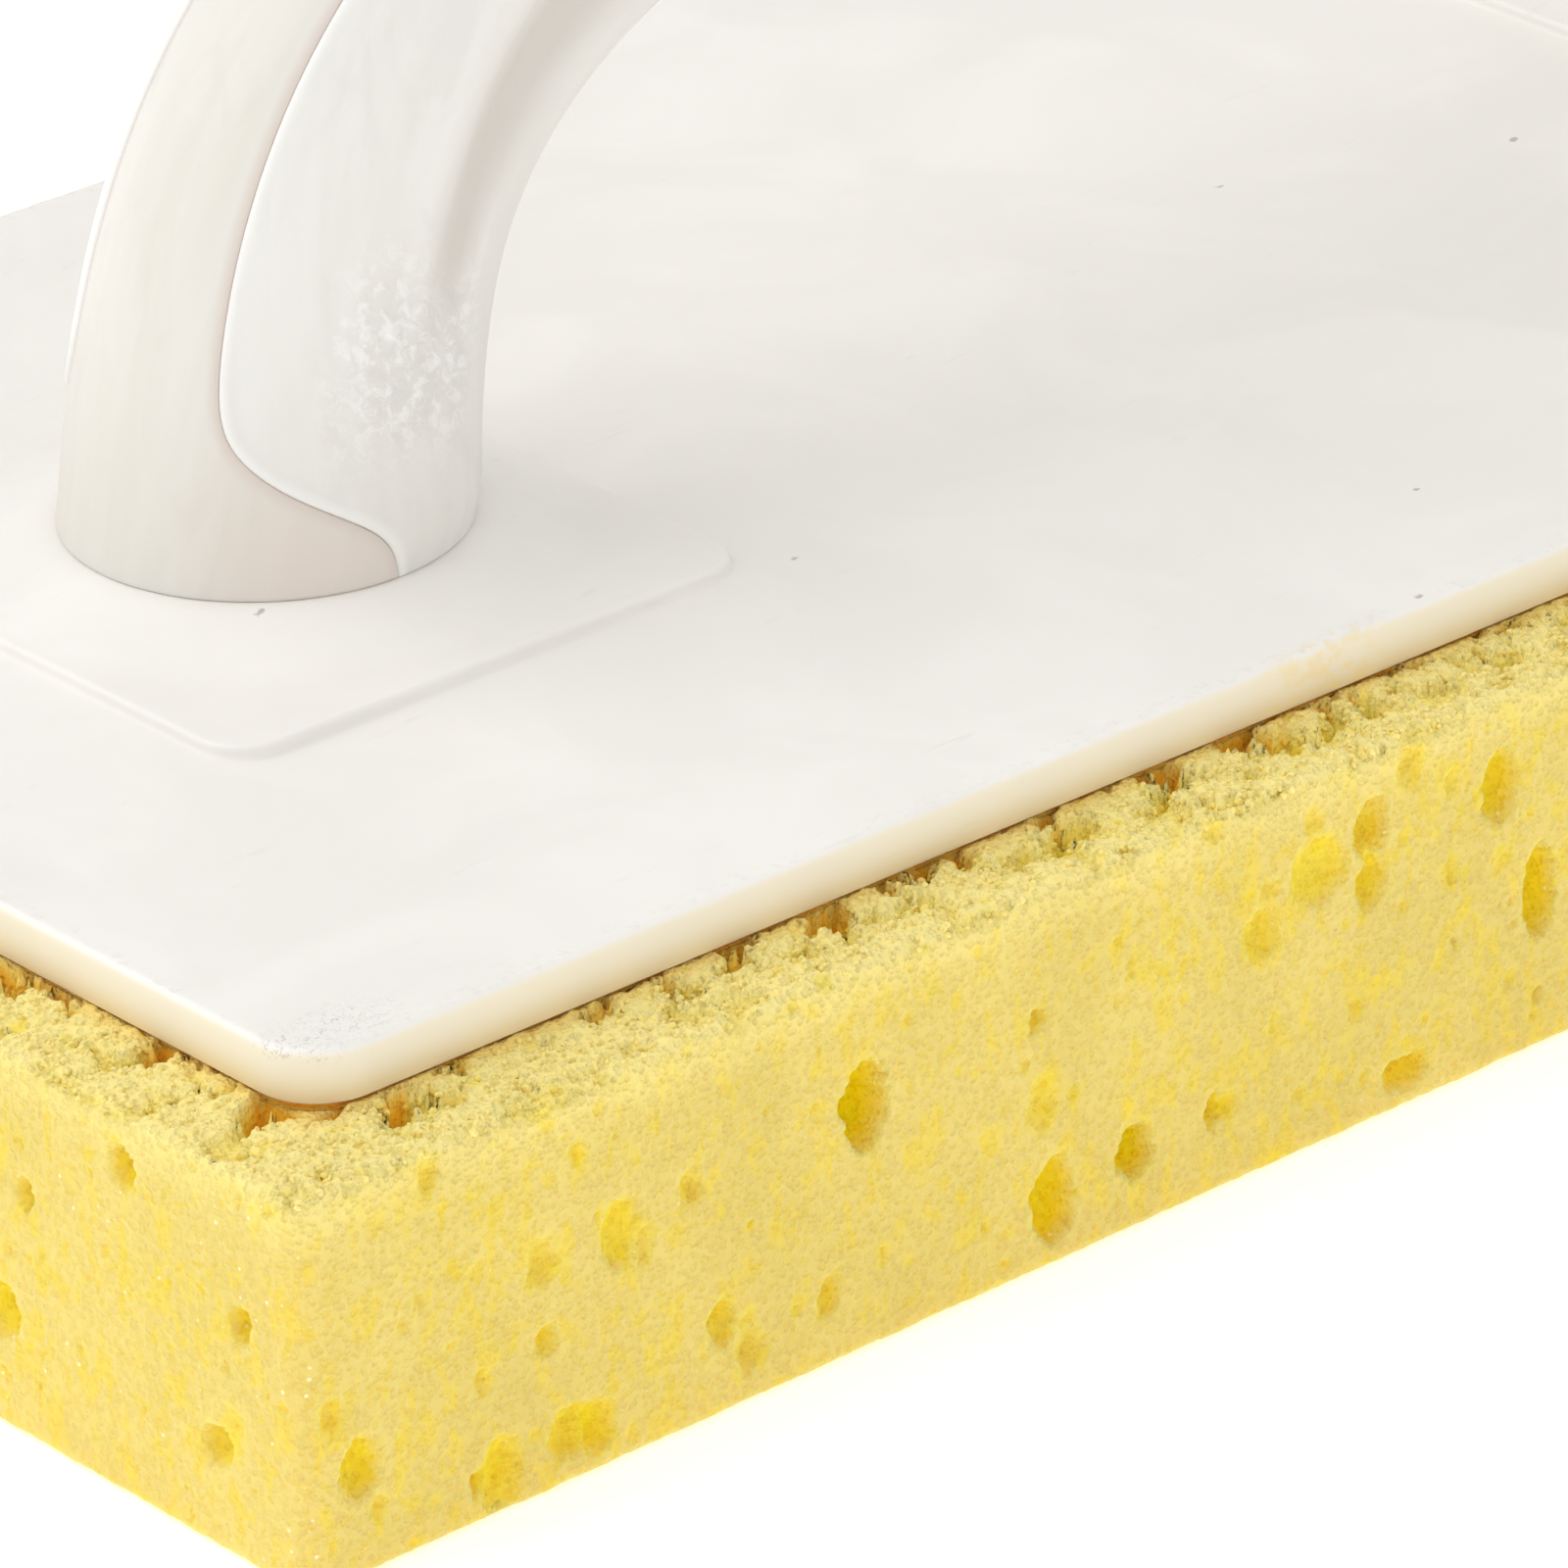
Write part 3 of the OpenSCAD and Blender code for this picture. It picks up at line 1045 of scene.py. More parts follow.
@dataclass
class Sponge:
    """The foam block under the plate, with its cavities really hollowed out."""

    low: Vector
    high: Vector
    plate_high: Vector
    corner: float = 2.5
    step: float = 0.37
    edge: float = 0.9
    top_edge: float = 1.4
    ledge: float = 10.5
    under_step: float = 1.3
    stretch: float = 1.5
    deepest: float = 4.2
    steep_from: float = 2.2
    pores: tuple[Pore, ...] = (
        Pore(-85, -70, 18.5, 2.0, 3.4, 3.6), Pore(-60.5, -70, 6.2, 1.6, 2.1, 2.8),
        Pore(-53, -70, 6.6, 0.9, 1.6, 1.8), Pore(-68, -70, 5.2, 1.9, 3.4, 2.6),
        Pore(-25.5, -70, 22.0, 1.8, 3.0, 2.2), Pore(-21.5, -70, 12.5, 1.6, 3.6, 2.4),
        Pore(-43, -70, 21.5, 3.0, 2.8, 1.3), Pore(-38, -70, 19.0, 1.5, 2.6, 1.5),
        Pore(-48.5, -70, 18.5, 1.6, 2.2, 1.2), Pore(-34.5, -70, 3.0, 2.3, 1.5, 1.8),
        Pore(-106.5, -70, 17.0, 1.8, 3.0, 1.3), Pore(-111, -70, 4.0, 2.4, 2.1, 1.6),
        Pore(-129, -70, 8.2, 1.8, 2.4, 1.6), Pore(-98, -70, 7.0, 1.2, 1.8, 1.2),
        Pore(-69.5, -70, 19.5, 0.8, 1.1, 1.2), Pore(-88.5, -70, 5.5, 1.0, 1.6, 1.2),
        Pore(-119, -70, 3.4, 1.0, 1.0, 1.3), Pore(-113, -70, 11.5, 1.0, 1.4, 1.0),
        Pore(-134, -63.5, 18.0, 1.0, 1.6, 1.2), Pore(-134, -60.5, 8.0, 1.8, 1.6, 1.4),
        Pore(-134, -52, 25.0, 1.3, 1.6, 1.6), Pore(-134, -41.5, 19.0, 0.9, 1.3, 1.2),
        Pore(-134, -38, 9.0, 2.0, 2.2, 1.6), Pore(-134, 21, 14.0, 1.9, 3.0, 2.8),
        Pore(134, -31, 17.0, 2.1, 3.1, 3.0), Pore(134, 33, 9.0, 1.5, 2.4, 2.4),
        Pore(31, -70, 15.0, 1.7, 3.0, 3.0), Pore(78, -70, 20.0, 2.2, 2.6, 2.4),
        Pore(104, -70, 8.0, 1.6, 2.4, 2.6), Pore(-74, 70, 17.0, 2.1, 3.2, 3.2),
        Pore(12, 70, 9.0, 1.7, 2.6, 2.8), Pore(63, 70, 20.0, 1.8, 2.6, 2.4),
    )

    def lattice(self) -> bpy.types.Object:
        """The block as a fine closed mesh, before its pores.

        Returns:
            The object, with outward directions stored.
        """
        size = (self.high - self.low) / MM
        outline = Outline(size.x / 2, size.y / 2, self.corner, self.step, corner_steps=10)
        stack = Stack()
        loops = [stack.loop(outline, i, self.edge + z, t) for i, z, t in quarter(self.edge, 4, -90, 0)]
        rows = round((size.z - self.edge - self.top_edge) / self.step)
        rise = (size.z - self.edge - self.top_edge) / rows
        loops += [stack.loop(outline, 0.0, self.edge + rise * k, 0.0) for k in range(1, rows)]
        base = size.z - self.top_edge
        loops += [stack.loop(outline, i, base + z, t) for i, z, t in quarter(self.top_edge, 5, 0, 90)]
        steps = round((self.ledge - self.top_edge) / self.step)
        loops += [stack.loop(outline, self.top_edge + (self.ledge - self.top_edge) * k / steps, size.z, 90.0)
                  for k in range(1, steps + 1)]
        for below, above in zip(loops, loops[1:]):
            stack.join(below, above)
        stack.fill([loops[0]], self.under_step, self.under_step * 0.7, up=False)
        stack.fill([loops[-1]], 6.0, 3.0, up=True)
        return stack.build("sponge")

    def beyond(self, place: Vec) -> Field:
        """How far a point is past the plate's outline, in millimetres."""
        x, y, _ = place.parts()
        return (x.abs() - self.plate_high.x / MM).max(y.abs() - self.plate_high.y / MM)

    def cavity(self, place: Vec, out: Vec, centre: Vec, reach: Number) -> tuple[Field, Field]:
        """How deep a round cavity is under each point.

        Args:
            place: The point.
            out: The outward direction there, in the same stretched space.
            centre: The cavity's middle.
            reach: Its radius.

        Returns:
            The distance in to its far wall, and how far inside its mouth the point is, from 0 to 1.
        """
        gap = centre - place
        far = gap.dot(gap)
        inward = gap.dot(out) * -1.0
        speed = out.dot(out)
        mouth = (reach * reach - far).max(0.0)
        travel = (inward + (inward * inward + speed * mouth).math("SQRT")) / speed
        return travel * mouth.math("SIGN"), mouth / (reach * reach)

    def pore_layer(self, maker: Maker, place: Vec, out: Vec, size: str, shift: float,
                   tall: float) -> tuple[Field, Field]:
        """One size of scattered pores.

        Args:
            maker: The tree being built, with the size's spacing and radius among its inputs.
            place: The point, in millimetres.
            out: The outward direction.
            size: Which of the sizes.
            shift: Moves the pattern, so that layers differ.
            tall: How far the pores are stretched upwards.

        Returns:
            Depth and mouth, as cavity gives them.
        """
        cell, widest = maker.value(f"{size} spacing"), maker.value(f"{size} radius")
        squeeze = (1.0, 1.0, 1.0 / tall)
        here = place * squeeze + (shift, shift * 0.7, shift * 1.3)
        cells = here.scale(1.0 / cell).cells()
        centre = Vec(maker.tree, cells.outputs["Position"]).scale(cell)
        chance = Vec(maker.tree, cells.outputs["Color"]).parts()[0]
        reach = widest * (chance * chance * 0.85 + 0.15)
        return self.cavity(here, out * squeeze, centre, reach)

    def hollowed(self, material: bpy.types.Material) -> Maker:
        """The tree that hollows the pores out of the lattice.

        Args:
            material: The sponge's finish.

        Returns:
            The tree, ready to run.
        """
        maker = Maker("sponge pores", {
            "Large spacing": 10.0, "Large radius": 2.2, "Middle spacing": 4.4, "Middle radius": 1.75,
            "Small spacing": 2.1, "Small radius": 0.75, "Nap": 0.32, "Ledge nap": 0.9,
            "Seed": float(SEED)})
        place = maker.position().scale(1 / MM)
        out = maker.outward()
        seeded = place + Vec.of(maker.tree, maker.value("Seed"), 0.0, 0.0)
        bent = seeded + Vec.of(maker.tree, seeded.noise(0.7, 3.0, 0.65) - 0.5,
                               (seeded + (9.0, 0.0, 0.0)).noise(0.7, 3.0, 0.65) - 0.5,
                               (seeded + (0.0, 9.0, 0.0)).noise(0.7, 3.0, 0.65) - 0.5).scale(1.6)
        z = place.parts()[2]
        beyond = self.beyond(place)
        top = out.parts()[2].ramp(0.4, 0.9)
        under = (-out.parts()[2]).ramp(0.4, 0.9)
        shown = beyond.ramp(-1.2, -0.2)
        side = 1.0 - top
        deep_l, mouth_l = self.pore_layer(maker, bent, out, "Large", 0.0, self.stretch)
        deep_m, mouth_m = self.pore_layer(maker, bent, out, "Middle", 31.0, self.stretch)
        deep_s, mouth_s = self.pore_layer(maker, bent, out, "Small", 57.0, 1.2)
        wide_l, wide_m, wide_s = (mouth.math("SQRT") for mouth in (mouth_l, mouth_m, mouth_s))
        rough = seeded.noise(1.1, 3.0, 0.6) * 0.7 + 0.65
        depth = (deep_l * wide_l * 0.9).max(deep_m * mouth_m * 0.6).max(deep_s * mouth_s * 0.45)
        golden = (wide_l * 0.85).max(wide_m * 0.55).max(wide_s * 0.5)
        ragged = (bent.noise(0.6, 4.0, 0.7) - 0.5, bent.noise(0.75, 4.0, 0.7) - 0.5)
        wobble = Vec.of(maker.tree, ragged[0], ragged[0], ragged[1]).scale(1.9)
        for pore in self.pores:
            gap = (place + wobble - (pore.x, pore.y, pore.z)) * (
                1 / pore.half_width, 1 / pore.half_width, 1 / pore.half_height)
            far = gap.dot(gap)
            bowl = (1.0 - far).max(0.0) ** (0.5 if pore.depth > self.steep_from else 0.9)
            depth = depth.max(bowl * pore.depth)
            golden = golden.max(bowl.ramp(0.0, 0.6) * min(1.0, 0.35 + pore.depth / 4.5))
        torn = (bent + (0.0, 0.0, 70.0)).noise(0.3, 4.0, 0.62).ramp(0.50, 0.63)
        near_plate = 1.0 - beyond.ramp(0.2, 4.5)
        tear = torn * (near_plate * 1.6 + 0.5) * top * shown
        nap = seeded.noise(1.25, 3.0, 0.6) * maker.value("Nap") + seeded.noise(0.35, 2.0) * 0.35
        crumbs = (seeded.noise(0.9, 2.0, 0.6) - 0.5) * maker.value("Ledge nap") * top * shown
        hollow = (depth * rough).min(self.deepest) * (side + top * 0.35) * (1.0 - under * 0.5)
        lift = crumbs + near_plate * top * shown * 0.35 - tear * 1.5 - hollow
        moved = out.scale((lift - nap * side) * MM)
        hold = (1.0 - top * (1.0 - shown)) * z.ramp(-0.5, 0.6).mix(0.6, 1.0)
        soaked = (1.0 - beyond.ramp(0.0, 1.6)) * top
        geometry = maker.store(
            maker.input_geometry(),
            pore=golden.max(tear * 0.6).min(1.0) * hold,
            soak=(tear * soaked * 1.3).min(1.0).max(soaked * 0.3),
            # ledge: the top face, and the top 5 mm of the sides at half strength, painted paler as light from
            # above.
            ledge=top.max((z - (self.high.z / MM - 5.0)).ramp(0.0, 5.0) * 0.5))
        maker.move(geometry, material, Offset=moved.scale(hold))
        return maker

    def nap(self, block: bpy.types.Object, material: bpy.types.Material) -> bpy.types.Object:
        """The loose torn cells along the cut top edge, scattered over the block's ledge.

        Args:
            block: The finished block.
            material: The sponge's finish.

        Returns:
            The piece.
        """
        maker = Maker("sponge nap", {
            "Grains per square mm": 1.35, "Least grain": 0.16, "Largest grain": 0.40})
        open_skin = 1.0 - maker.stored("pore").ramp(0.1, 0.5)
        place = maker.position().scale(1 / MM)
        x, y, _ = place.parts()
        margin = (self.high.x / MM - x.abs()).min(self.high.y / MM - y.abs())
        keep = maker.stored("ledge").ramp(0.3, 0.7) * open_skin * self.beyond(place).ramp(0.5, 0.9)
        density = keep * margin.ramp(0.55, 0.75) * maker.value("Grains per square mm") * 1e6
        spread = maker.node("GeometryNodeDistributePointsOnFaces", {
            "Mesh": maker.input_geometry(), "Density": density, "Seed": SEED}, distribute_method="RANDOM")
        grain = maker.node("GeometryNodeMeshIcoSphere", {"Radius": MM, "Subdivisions": 1})
        sizes = [maker.random("Least grain", "Largest grain", SEED + k) for k in range(3)]
        scattered = maker.node("GeometryNodeInstanceOnPoints", {
            # The grains take the top's painted paler colour.
            "Points": spread.outputs["Points"], "Instance": maker.store(grain.outputs["Mesh"], ledge=1.0),
            "Rotation": spread.outputs["Rotation"], "Scale": Vec.of(maker.tree, *sizes)})
        maker.close(scattered.outputs[0], material)
        piece = bpy.data.objects.new("sponge_nap", block.data.copy())
        bpy.context.scene.collection.objects.link(piece)
        smooth(maker.run(piece))
        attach(piece, "root")
        return piece

    def build(self, finish: SpongeFinish) -> bpy.types.Object:
        """Args:
            finish: Its look.

        Returns:
            The piece.
        """
        piece = self.hollowed(finish.make()).run(self.lattice())
        smooth(piece)
        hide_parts("sponge_block")
        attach(piece, "root")
        return piece


# ---------------------------------------------------------------- adhesive


@dataclass
class Adhesive:
    """The glue between sponge and plate, with a lumpy squeezed-out edge."""

    low: Vector
    high: Vector
    spread: float = 0.9
    step: float = 0.6
    lip: float = 0.22
    corner: float = 4.0
    inner_step: float = 12.0
    inner_margin: float = 4.0

    def build(self, finish: AdhesiveFinish) -> bpy.types.Object:
        """Args:
            finish: Its look.

        Returns:
            The piece.
        """
        half = (self.high - self.low) / MM / 2
        base, thick = self.low.z / MM, (self.high.z - self.low.z) / MM
        outline = Outline(half.x + self.spread, half.y + self.spread, self.corner, self.step)
        stack = Stack()
        middle = base + thick / 2
        loops = [stack.loop(outline, i, middle + z * thick / 2 / self.lip, t)
                 for i, z, t in quarter(self.lip, 6, -90, 90)]
        for below, above in zip(loops, loops[1:]):
            stack.join(below, above)
        stack.fill([loops[0]], self.inner_step, self.inner_margin, up=False)
        stack.fill([loops[-1]], self.inner_step, self.inner_margin, up=True)
        maker = Maker("glue bead", {"Ragged": 1.7, "Lump size": 0.22, "Seed": float(SEED)})
        place = maker.position().scale(1 / MM)
        out = maker.outward()
        flat = out * (1.0, 1.0, 0.0)
        seeded = place * (1.0, 1.0, 0.0) + Vec.of(maker.tree, maker.value("Seed"), 0.0, 0.0)
        back = seeded.noise(1.0, 4.0, 0.6) * maker.value("Ragged") * maker.value("Lump size") * -4.0
        maker.move(maker.input_geometry(), finish.make(), Offset=flat.scale(back * MM))
        piece = maker.run(stack.build("adhesive"))
        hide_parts("adhesive_film")
        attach(piece, "root")
        return piece


# ---------------------------------------------------------------- plate


@dataclass
class Plate:
    """The moulded plate: rounded rim, two raised pads with low cones, and counterbored holes below."""

    low: Vector
    high: Vector
    corner: float = 5.0
    thick: float = 4.0
    pad_l: float = 46.8
    pad_w: float = 50.5
    pad_rise: float = 1.0
    pad_corner: float = 4.0
    foot_x: float = 78.6
    cone_r: float = 23.0
    cone_rise: float = 2.3
    foot_r: float = 14.9
    rim: float = 0.55
    screw_offset: float = 7.2
    hole_r: float = 2.25
    counter_r: float = 4.5
    counter_h: float = 2.7
    lower_edge: float = 0.35
    pad_edge: float = 0.4
    blind_top: float = 1.6
    hole_sides: int = 32
    scuff_at: tuple[float, float] = (-122.5, -59.0)
    stain_at: tuple[float, float] = (-35.0, -62.0)

    def cone(self, flat: np.ndarray, x: float) -> np.ndarray:
        """Height of the low cone under a foot.

        Args:
            flat: x, y pairs.
            x: The foot's middle.

        Returns:
            Its height over the pad.
        """
        away = np.hypot(flat[:, 0] - x, flat[:, 1])
        t = np.clip((self.cone_r - away) / (self.cone_r - self.foot_r - 0.6), 0, 1)
        return self.cone_rise * t * (0.55 + 0.45 * t)

    def mould(self) -> bpy.types.Object:
        """The plate's closed mesh.

        Returns:
            The object, with outward directions stored.
        """
        half = (self.high - self.low) / MM / 2
        base = self.low.z / MM
        deck = base + self.thick
        body = Outline(half.x, half.y, self.corner, 1.2, corner_steps=14)
        stack = Stack()
        foot = self.lower_edge
        edge = [(i, base + foot + z, t) for i, z, t in quarter(foot, 3, -90, 0)]
        edge += [(0.0, base + foot + (self.thick - foot - self.rim) * k / 5, 0.0) for k in range(1, 5)]
        edge += [(i, deck - self.rim + z, t) for i, z, t in quarter(self.rim, 7, 0, 90)]
        edge += [(self.rim + k, deck, 90.0) for k in (0.35, 0.8, 1.6, 3.0)]
        loops = [stack.loop(body, *row) for row in edge]
        for below, above in zip(loops, loops[1:]):
            stack.join(below, above)
        pads, holes = [], []
        for x in (-self.foot_x, self.foot_x):
            pad = Outline(self.pad_l / 2, self.pad_w / 2, self.pad_corner, 0.9, (x, 0.0), 10)
            fillet = [(-0.45, deck, 88.0), (-0.2, deck + 0.06, 60.0), (-0.04, deck + 0.26, 25.0)]
            shoulder = deck + self.pad_rise - self.pad_edge
            top = [(i, shoulder + z, t) for i, z, t in quarter(self.pad_edge, 5, 0, 90)]
            rows = [stack.loop(pad, *row) for row in (*fillet, (0.0, deck + 0.42, 0.0), *top,
                                                      (0.75, deck + self.pad_rise, 90.0))]
            for below, above in zip(rows, rows[1:]):
                stack.join(below, above)
            stack.fill([rows[-1]], 0.95, 0.6, True, lambda flat, x=x: self.cone(flat, x))
            pads.append(rows[0])
            for shift in (-self.screw_offset, self.screw_offset):
                holes.append(self.bore(stack, x + shift, base))
        stack.fill([loops[-1], *pads], 2.0, 1.2, up=True)
        stack.fill([loops[0], *holes], 4.0, 1.5, up=False)
        return stack.build("plate")

    def bore(self, stack: Stack, x: float, base: float) -> np.ndarray:
        """A counterbored screw hole that ends blind under the foot.

        Args:
            stack: Where it goes.
            x: Its middle.
            base: Height of the plate's underside.

        Returns:
            The mouth's point numbers.
        """
        top = base + self.thick + self.pad_rise + self.blind_top
        rows = ((self.counter_r + 0.2, base), (self.counter_r, base + 0.25),
                (self.counter_r, base + self.counter_h), (self.hole_r, base + self.counter_h + 0.02),
                (self.hole_r, top), (0.3, top + 0.02))
        n = self.hole_sides
        turns = np.linspace(0, 2 * math.pi, n, endpoint=False)
        loops = []
        for r, z in rows:
            ring = np.column_stack([x + r * np.cos(turns), r * np.sin(turns), np.full(n, z)])
            loops.append(stack.add(ring, np.tile([0, 0, -1.0], (n, 1))))
        for below, above in zip(loops, loops[1:]):
            stack.join(above, below)
        stack.faces.append(tuple(int(i) for i in loops[-1][::-1]))
        return loops[0]

    def wear(self, material: bpy.types.Material) -> Maker:
        """The tree that gives the moulding its burr, faint warp and centre line.

        Args:
            material: The plate's finish.

        Returns:
            The tree, ready to run.
        """
        maker = Maker("plate moulding marks", {
            "Burr": 0.14, "Warp": 0.12, "Centre line": 0.13, "Seed": float(SEED)})
        place = maker.position().scale(1 / MM)
        out = maker.outward()
        x, y, z = place.parts()
        deck = self.low.z / MM + self.thick
        seeded = place + Vec.of(maker.tree, 0.0, maker.value("Seed"), 0.0)
        near_x = (x.abs() - (self.high.x / MM - self.corner)).max(0.0)
        near_y = (y.abs() - (self.high.y / MM - self.corner)).max(0.0)
        inset = self.corner - (near_x * near_x + near_y * near_y).math("SQRT")
        on_top = (z - (deck - 1.2)).ramp(0.0, 0.6) * (1.0 - (z - deck).ramp(0.05, 0.3))
        rim = on_top * inset.ramp(0.05, 0.35) * (1.0 - inset.ramp(0.9, 1.9))
        burr = seeded.noise(0.9, 4.0, 0.65).ramp(0.45, 0.8) * rim * maker.value("Burr")
        warp = (seeded.noise(0.02, 2.0) - 0.5) * maker.value("Warp") * on_top
        between = 1.0 - (x.abs() - (self.foot_x - self.pad_l / 2 - 1.0)).ramp(0.0, 3.0)
        # line: the low ridge along the centre, also the mask for its painted shade.
        line = (1.0 - (y + (seeded.noise(0.08, 2.0) - 0.5) * 1.2).abs().ramp(0.0, 0.5)) * between * on_top
        faint = seeded.noise(0.3, 3.0).ramp(0.4, 0.6)
        lift = warp + line * faint * maker.value("Centre line")
        chips = (seeded + (50.0, 0.0, 0.0)).noise(0.35, 4.0, 0.7).ramp(0.60, 0.72) * rim
        settled = Vec.of(maker.tree, 0.0, 0.0, (lift + burr - chips * 0.25) * MM)
        wall = (1.0 - out.parts()[2].abs().ramp(0.05, 0.85)) * (1.0 - inset.ramp(0.4, 1.0))
        corner = Vec.of(maker.tree, (x - self.scuff_at[0]) * 0.10, (y - self.scuff_at[1]) * 0.24, 0.0)
        near = 1.0 - corner.dot(corner).math("SQRT").ramp(0.25, 0.9)
        patch = Vec.of(maker.tree, (x - self.stain_at[0]) * 0.12, (y - self.stain_at[1]) * 0.6, 0.0)
        geometry = maker.store(
            maker.input_geometry(),
            # low: how far down the wall a point is, the mask for the painted yellow light from the sponge.
            wall=wall, burr=rim, low=(deck - z) / self.thick * wall, line=line * faint,
            worn=(near * on_top + burr * 0.8).min(1.0),
            stain=1.0 - patch.dot(patch).math("SQRT").ramp(0.2, 0.9))
        maker.move(geometry, material, Offset=settled)
        return maker

    def build(self, finish: PlateFinish) -> bpy.types.Object:
        """Args:
            finish: Its look.

        Returns:
            The piece.
        """
        piece = self.wear(finish.make()).run(self.mould())
        soften(piece)
        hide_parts("backing_plate")
        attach(piece, "root")
        return piece


# ---------------------------------------------------------------- handle


@dataclass
class HandleShell:
    """One shell of the bowed handle. Distances are millimetres along the half bow from the foot."""

    shell: Shell
    seat_z: float = 36.8
    foot_x: float = 78.6
    leg_lean: float = 2.6
    leg_rise: float = 19.3
    top_reach: float = 76.0
    bow_h: float = 49.3
    foot_r: float = 14.9
    grip_r: float = 11.9
    level_length: float = 9.0
    taper_length: float = 75.0
    taper_power: float = 1.3
    half_angle: float = 29.0
    open_angle: float = 90.0
    turn_at: float = 6.0
    turn_length: float = 1.4
    tail_angle: float = 9.0
    tail_length: float = 14.0
    flute_depth: float = 2.0
    flute_angle: float = 96.0
    flute_half: float = 26.0
    flute_start: float = 17.0
    flute_full: float = 48.0
    proud: float = 0.3
    wall: float = 3.0
    lap_t: float = 1.6
    lap_angle: float = 12.0
    gap: float = 0.02
    foot_edge: float = 0.3
    path_steps: int = 400
    slope_span: float = 0.2
    rows: int = 170
    across: int = 88

    def section(self) -> list[tuple[float, float]]:
        """The closed section as across and depth. Across is -1 to 1 over the shell, and beyond 1 on the lap.

        Returns:
            The pairs, in order round the section.
        """
        half = math.pi / 2
        skin = [(math.sin(half * (2 * k / self.across - 1)), 0.0) for k in range(self.across + 1)]
        if self.shell is Shell.SPINE:
            inside = [(math.cos(math.pi * k / 20), self.wall) for k in range(21)]
            return [*skin, (1.0, 1.5), *inside, (-1.0, 1.5)]
        under = self.wall + self.proud + 0.1
        floor = under + self.lap_t
        right = [(1.0, 1.6), (1.0, under), (1.5, under), (2.0, under), (2.0, floor), (1.5, floor)]
        inside = [(math.cos(math.pi * k / 28), floor) for k in range(29)]
        left = [(-x, d) for x, d in reversed(right)]
        return [*skin, *right, *inside, *left]

    def sheet(self) -> bpy.types.Object:
        """The shell laid out flat: along from -1 to 1, across, and depth in millimetres."""
        section = self.section()
        around, n = len(section), self.rows * 2 + 1
        points = [(a, x, d) for a in np.linspace(-1, 1, n) for x, d in section]
        faces = [(i * around + j, i * around + (j + 1) % around, (i + 1) * around + (j + 1) % around,
                  (i + 1) * around + j) for i in range(n - 1) for j in range(around)]
        faces += [tuple(range(around))[::-1], tuple(range((n - 1) * around, n * around))]
        return new_object(f"{self.shell.name.lower()}_shell", np.array(points), faces)

    def seam(self, s: Field) -> Field:
        """The seam's angle from the spine's middle line at s."""
        turn = 1.0 / (((s - self.turn_at) / self.turn_length).math("EXPONENT") + 1.0)
        tail = (s / -self.tail_length).math("EXPONENT") * self.tail_angle
        return tail + self.half_angle + (self.open_angle - self.half_angle - tail) * turn

    def radius(self, s: Field) -> Field:
        """The section's radius at s."""
        left = (1.0 - s / self.taper_length).max(0.0)
        return left ** self.taper_power * (self.foot_r - self.grip_r) + self.grip_r

    def flute(self, s: Field, turn: Field) -> tuple[Field, Field]:
        """The finger flute.

        Args:
            s: Distance from the foot.
            turn: Angle from the spine's middle line.

        Returns:
            Its depth, and a mask that is 1 along its floor.
        """
        reach = s.ramp(self.flute_start, self.flute_full)
        off = ((turn - self.flute_angle).abs() / (reach * 0.7 + 0.3) / self.flute_half).min(1.0)
        shape = (off * math.pi).math("COSINE") * 0.5 + 0.5
        spread = ((turn - self.flute_angle).abs() / (reach * 0.6 + 0.4) / self.flute_half).ramp(0.2, 1.0)
        begun = s.ramp(self.flute_start - 3.0, self.flute_start + 8.0)
        return shape * reach * self.flute_depth, (1.0 - spread) * begun

    def bend(self, material: bpy.types.Material) -> Maker:
        """The tree that bends the flat shell round the bow.

        Args:
            material: The shell's finish.

        Returns:
            The tree, ready to run.
        """
        spine = self.shell is Shell.SPINE
        maker = Maker(f"{self.shell.name.lower()} bow", {
            "Round edge": 0.12 if spine else 0.45, "Foot edge": self.foot_edge, "Gap": self.gap,
            "Ripple": 0.12, "Crowding": 1.45, "Seed": float(SEED)})
        tree = maker.tree
        along, across, depth = maker.position().parts()
        path = maker.node("GeometryNodeCurvePrimitiveBezierSegment", {
            "Start": (-self.foot_x, 0.0, 0.0),
            "Start Handle": (self.leg_lean - self.foot_x, 0.0, self.leg_rise),
            "End Handle": (-self.top_reach, 0.0, self.bow_h),
            "End": (0.0, 0.0, self.bow_h), "Resolution": self.path_steps}, mode="POSITION")
        length = maker.node("GeometryNodeCurveLength", {"Curve": path.outputs[0]})
        s = (1.0 - along.abs()) ** maker.value("Crowding") * Field(tree, length.outputs[0])
        side = (along.below(0.0) - 0.5) * 2.0
        sample = maker.node(
            "GeometryNodeSampleCurve", {"Curves": path.outputs[0], "Length": s}, mode="LENGTH")
        px, _, pz = Vec(tree, sample.outputs["Position"]).parts()
        tx, _, tz = Vec(tree, sample.outputs["Tangent"]).parts()
        level = s.ramp(0.0, self.level_length)
        ax, az = level * tx, level * (tz - 1.0) + 1.0
        size = (ax * ax + az * az).math("SQRT")
        nx, nz = -side * az / size, ax / size
        seam, radius = self.seam(s), self.radius(s)
        span = self.slope_span
        rise = self.seam(s + span) - self.seam((s - span).max(0.0))
        slant = rise * (DEGREE / (2 * span)) * radius
        steep = (slant * slant + 1.0).math("SQRT")
        inner = across.max(-1.0).min(1.0)
        lap = across - inner
        slit = maker.value("Gap") / radius * (180 / math.pi) * 0.5 * steep
        if spine:
            width = seam - slit
            angle = inner * width
            turn = angle.abs()
            hollow, floor = turn * 0.0, turn * 0.0
        else:
            width = 180.0 - seam - slit
            angle = inner * width + lap * self.lap_angle + 180.0
            turn = 180.0 - (angle - 180.0).abs()
            hollow, floor = self.flute(s, turn)
        surface = radius - hollow
        if not spine:
            surface = surface + s.ramp(0.0, 3.0) * self.proud
        to_edge = (1.0 - inner.abs()) * width * DEGREE * surface / steep
        outer = depth.below(0.01)
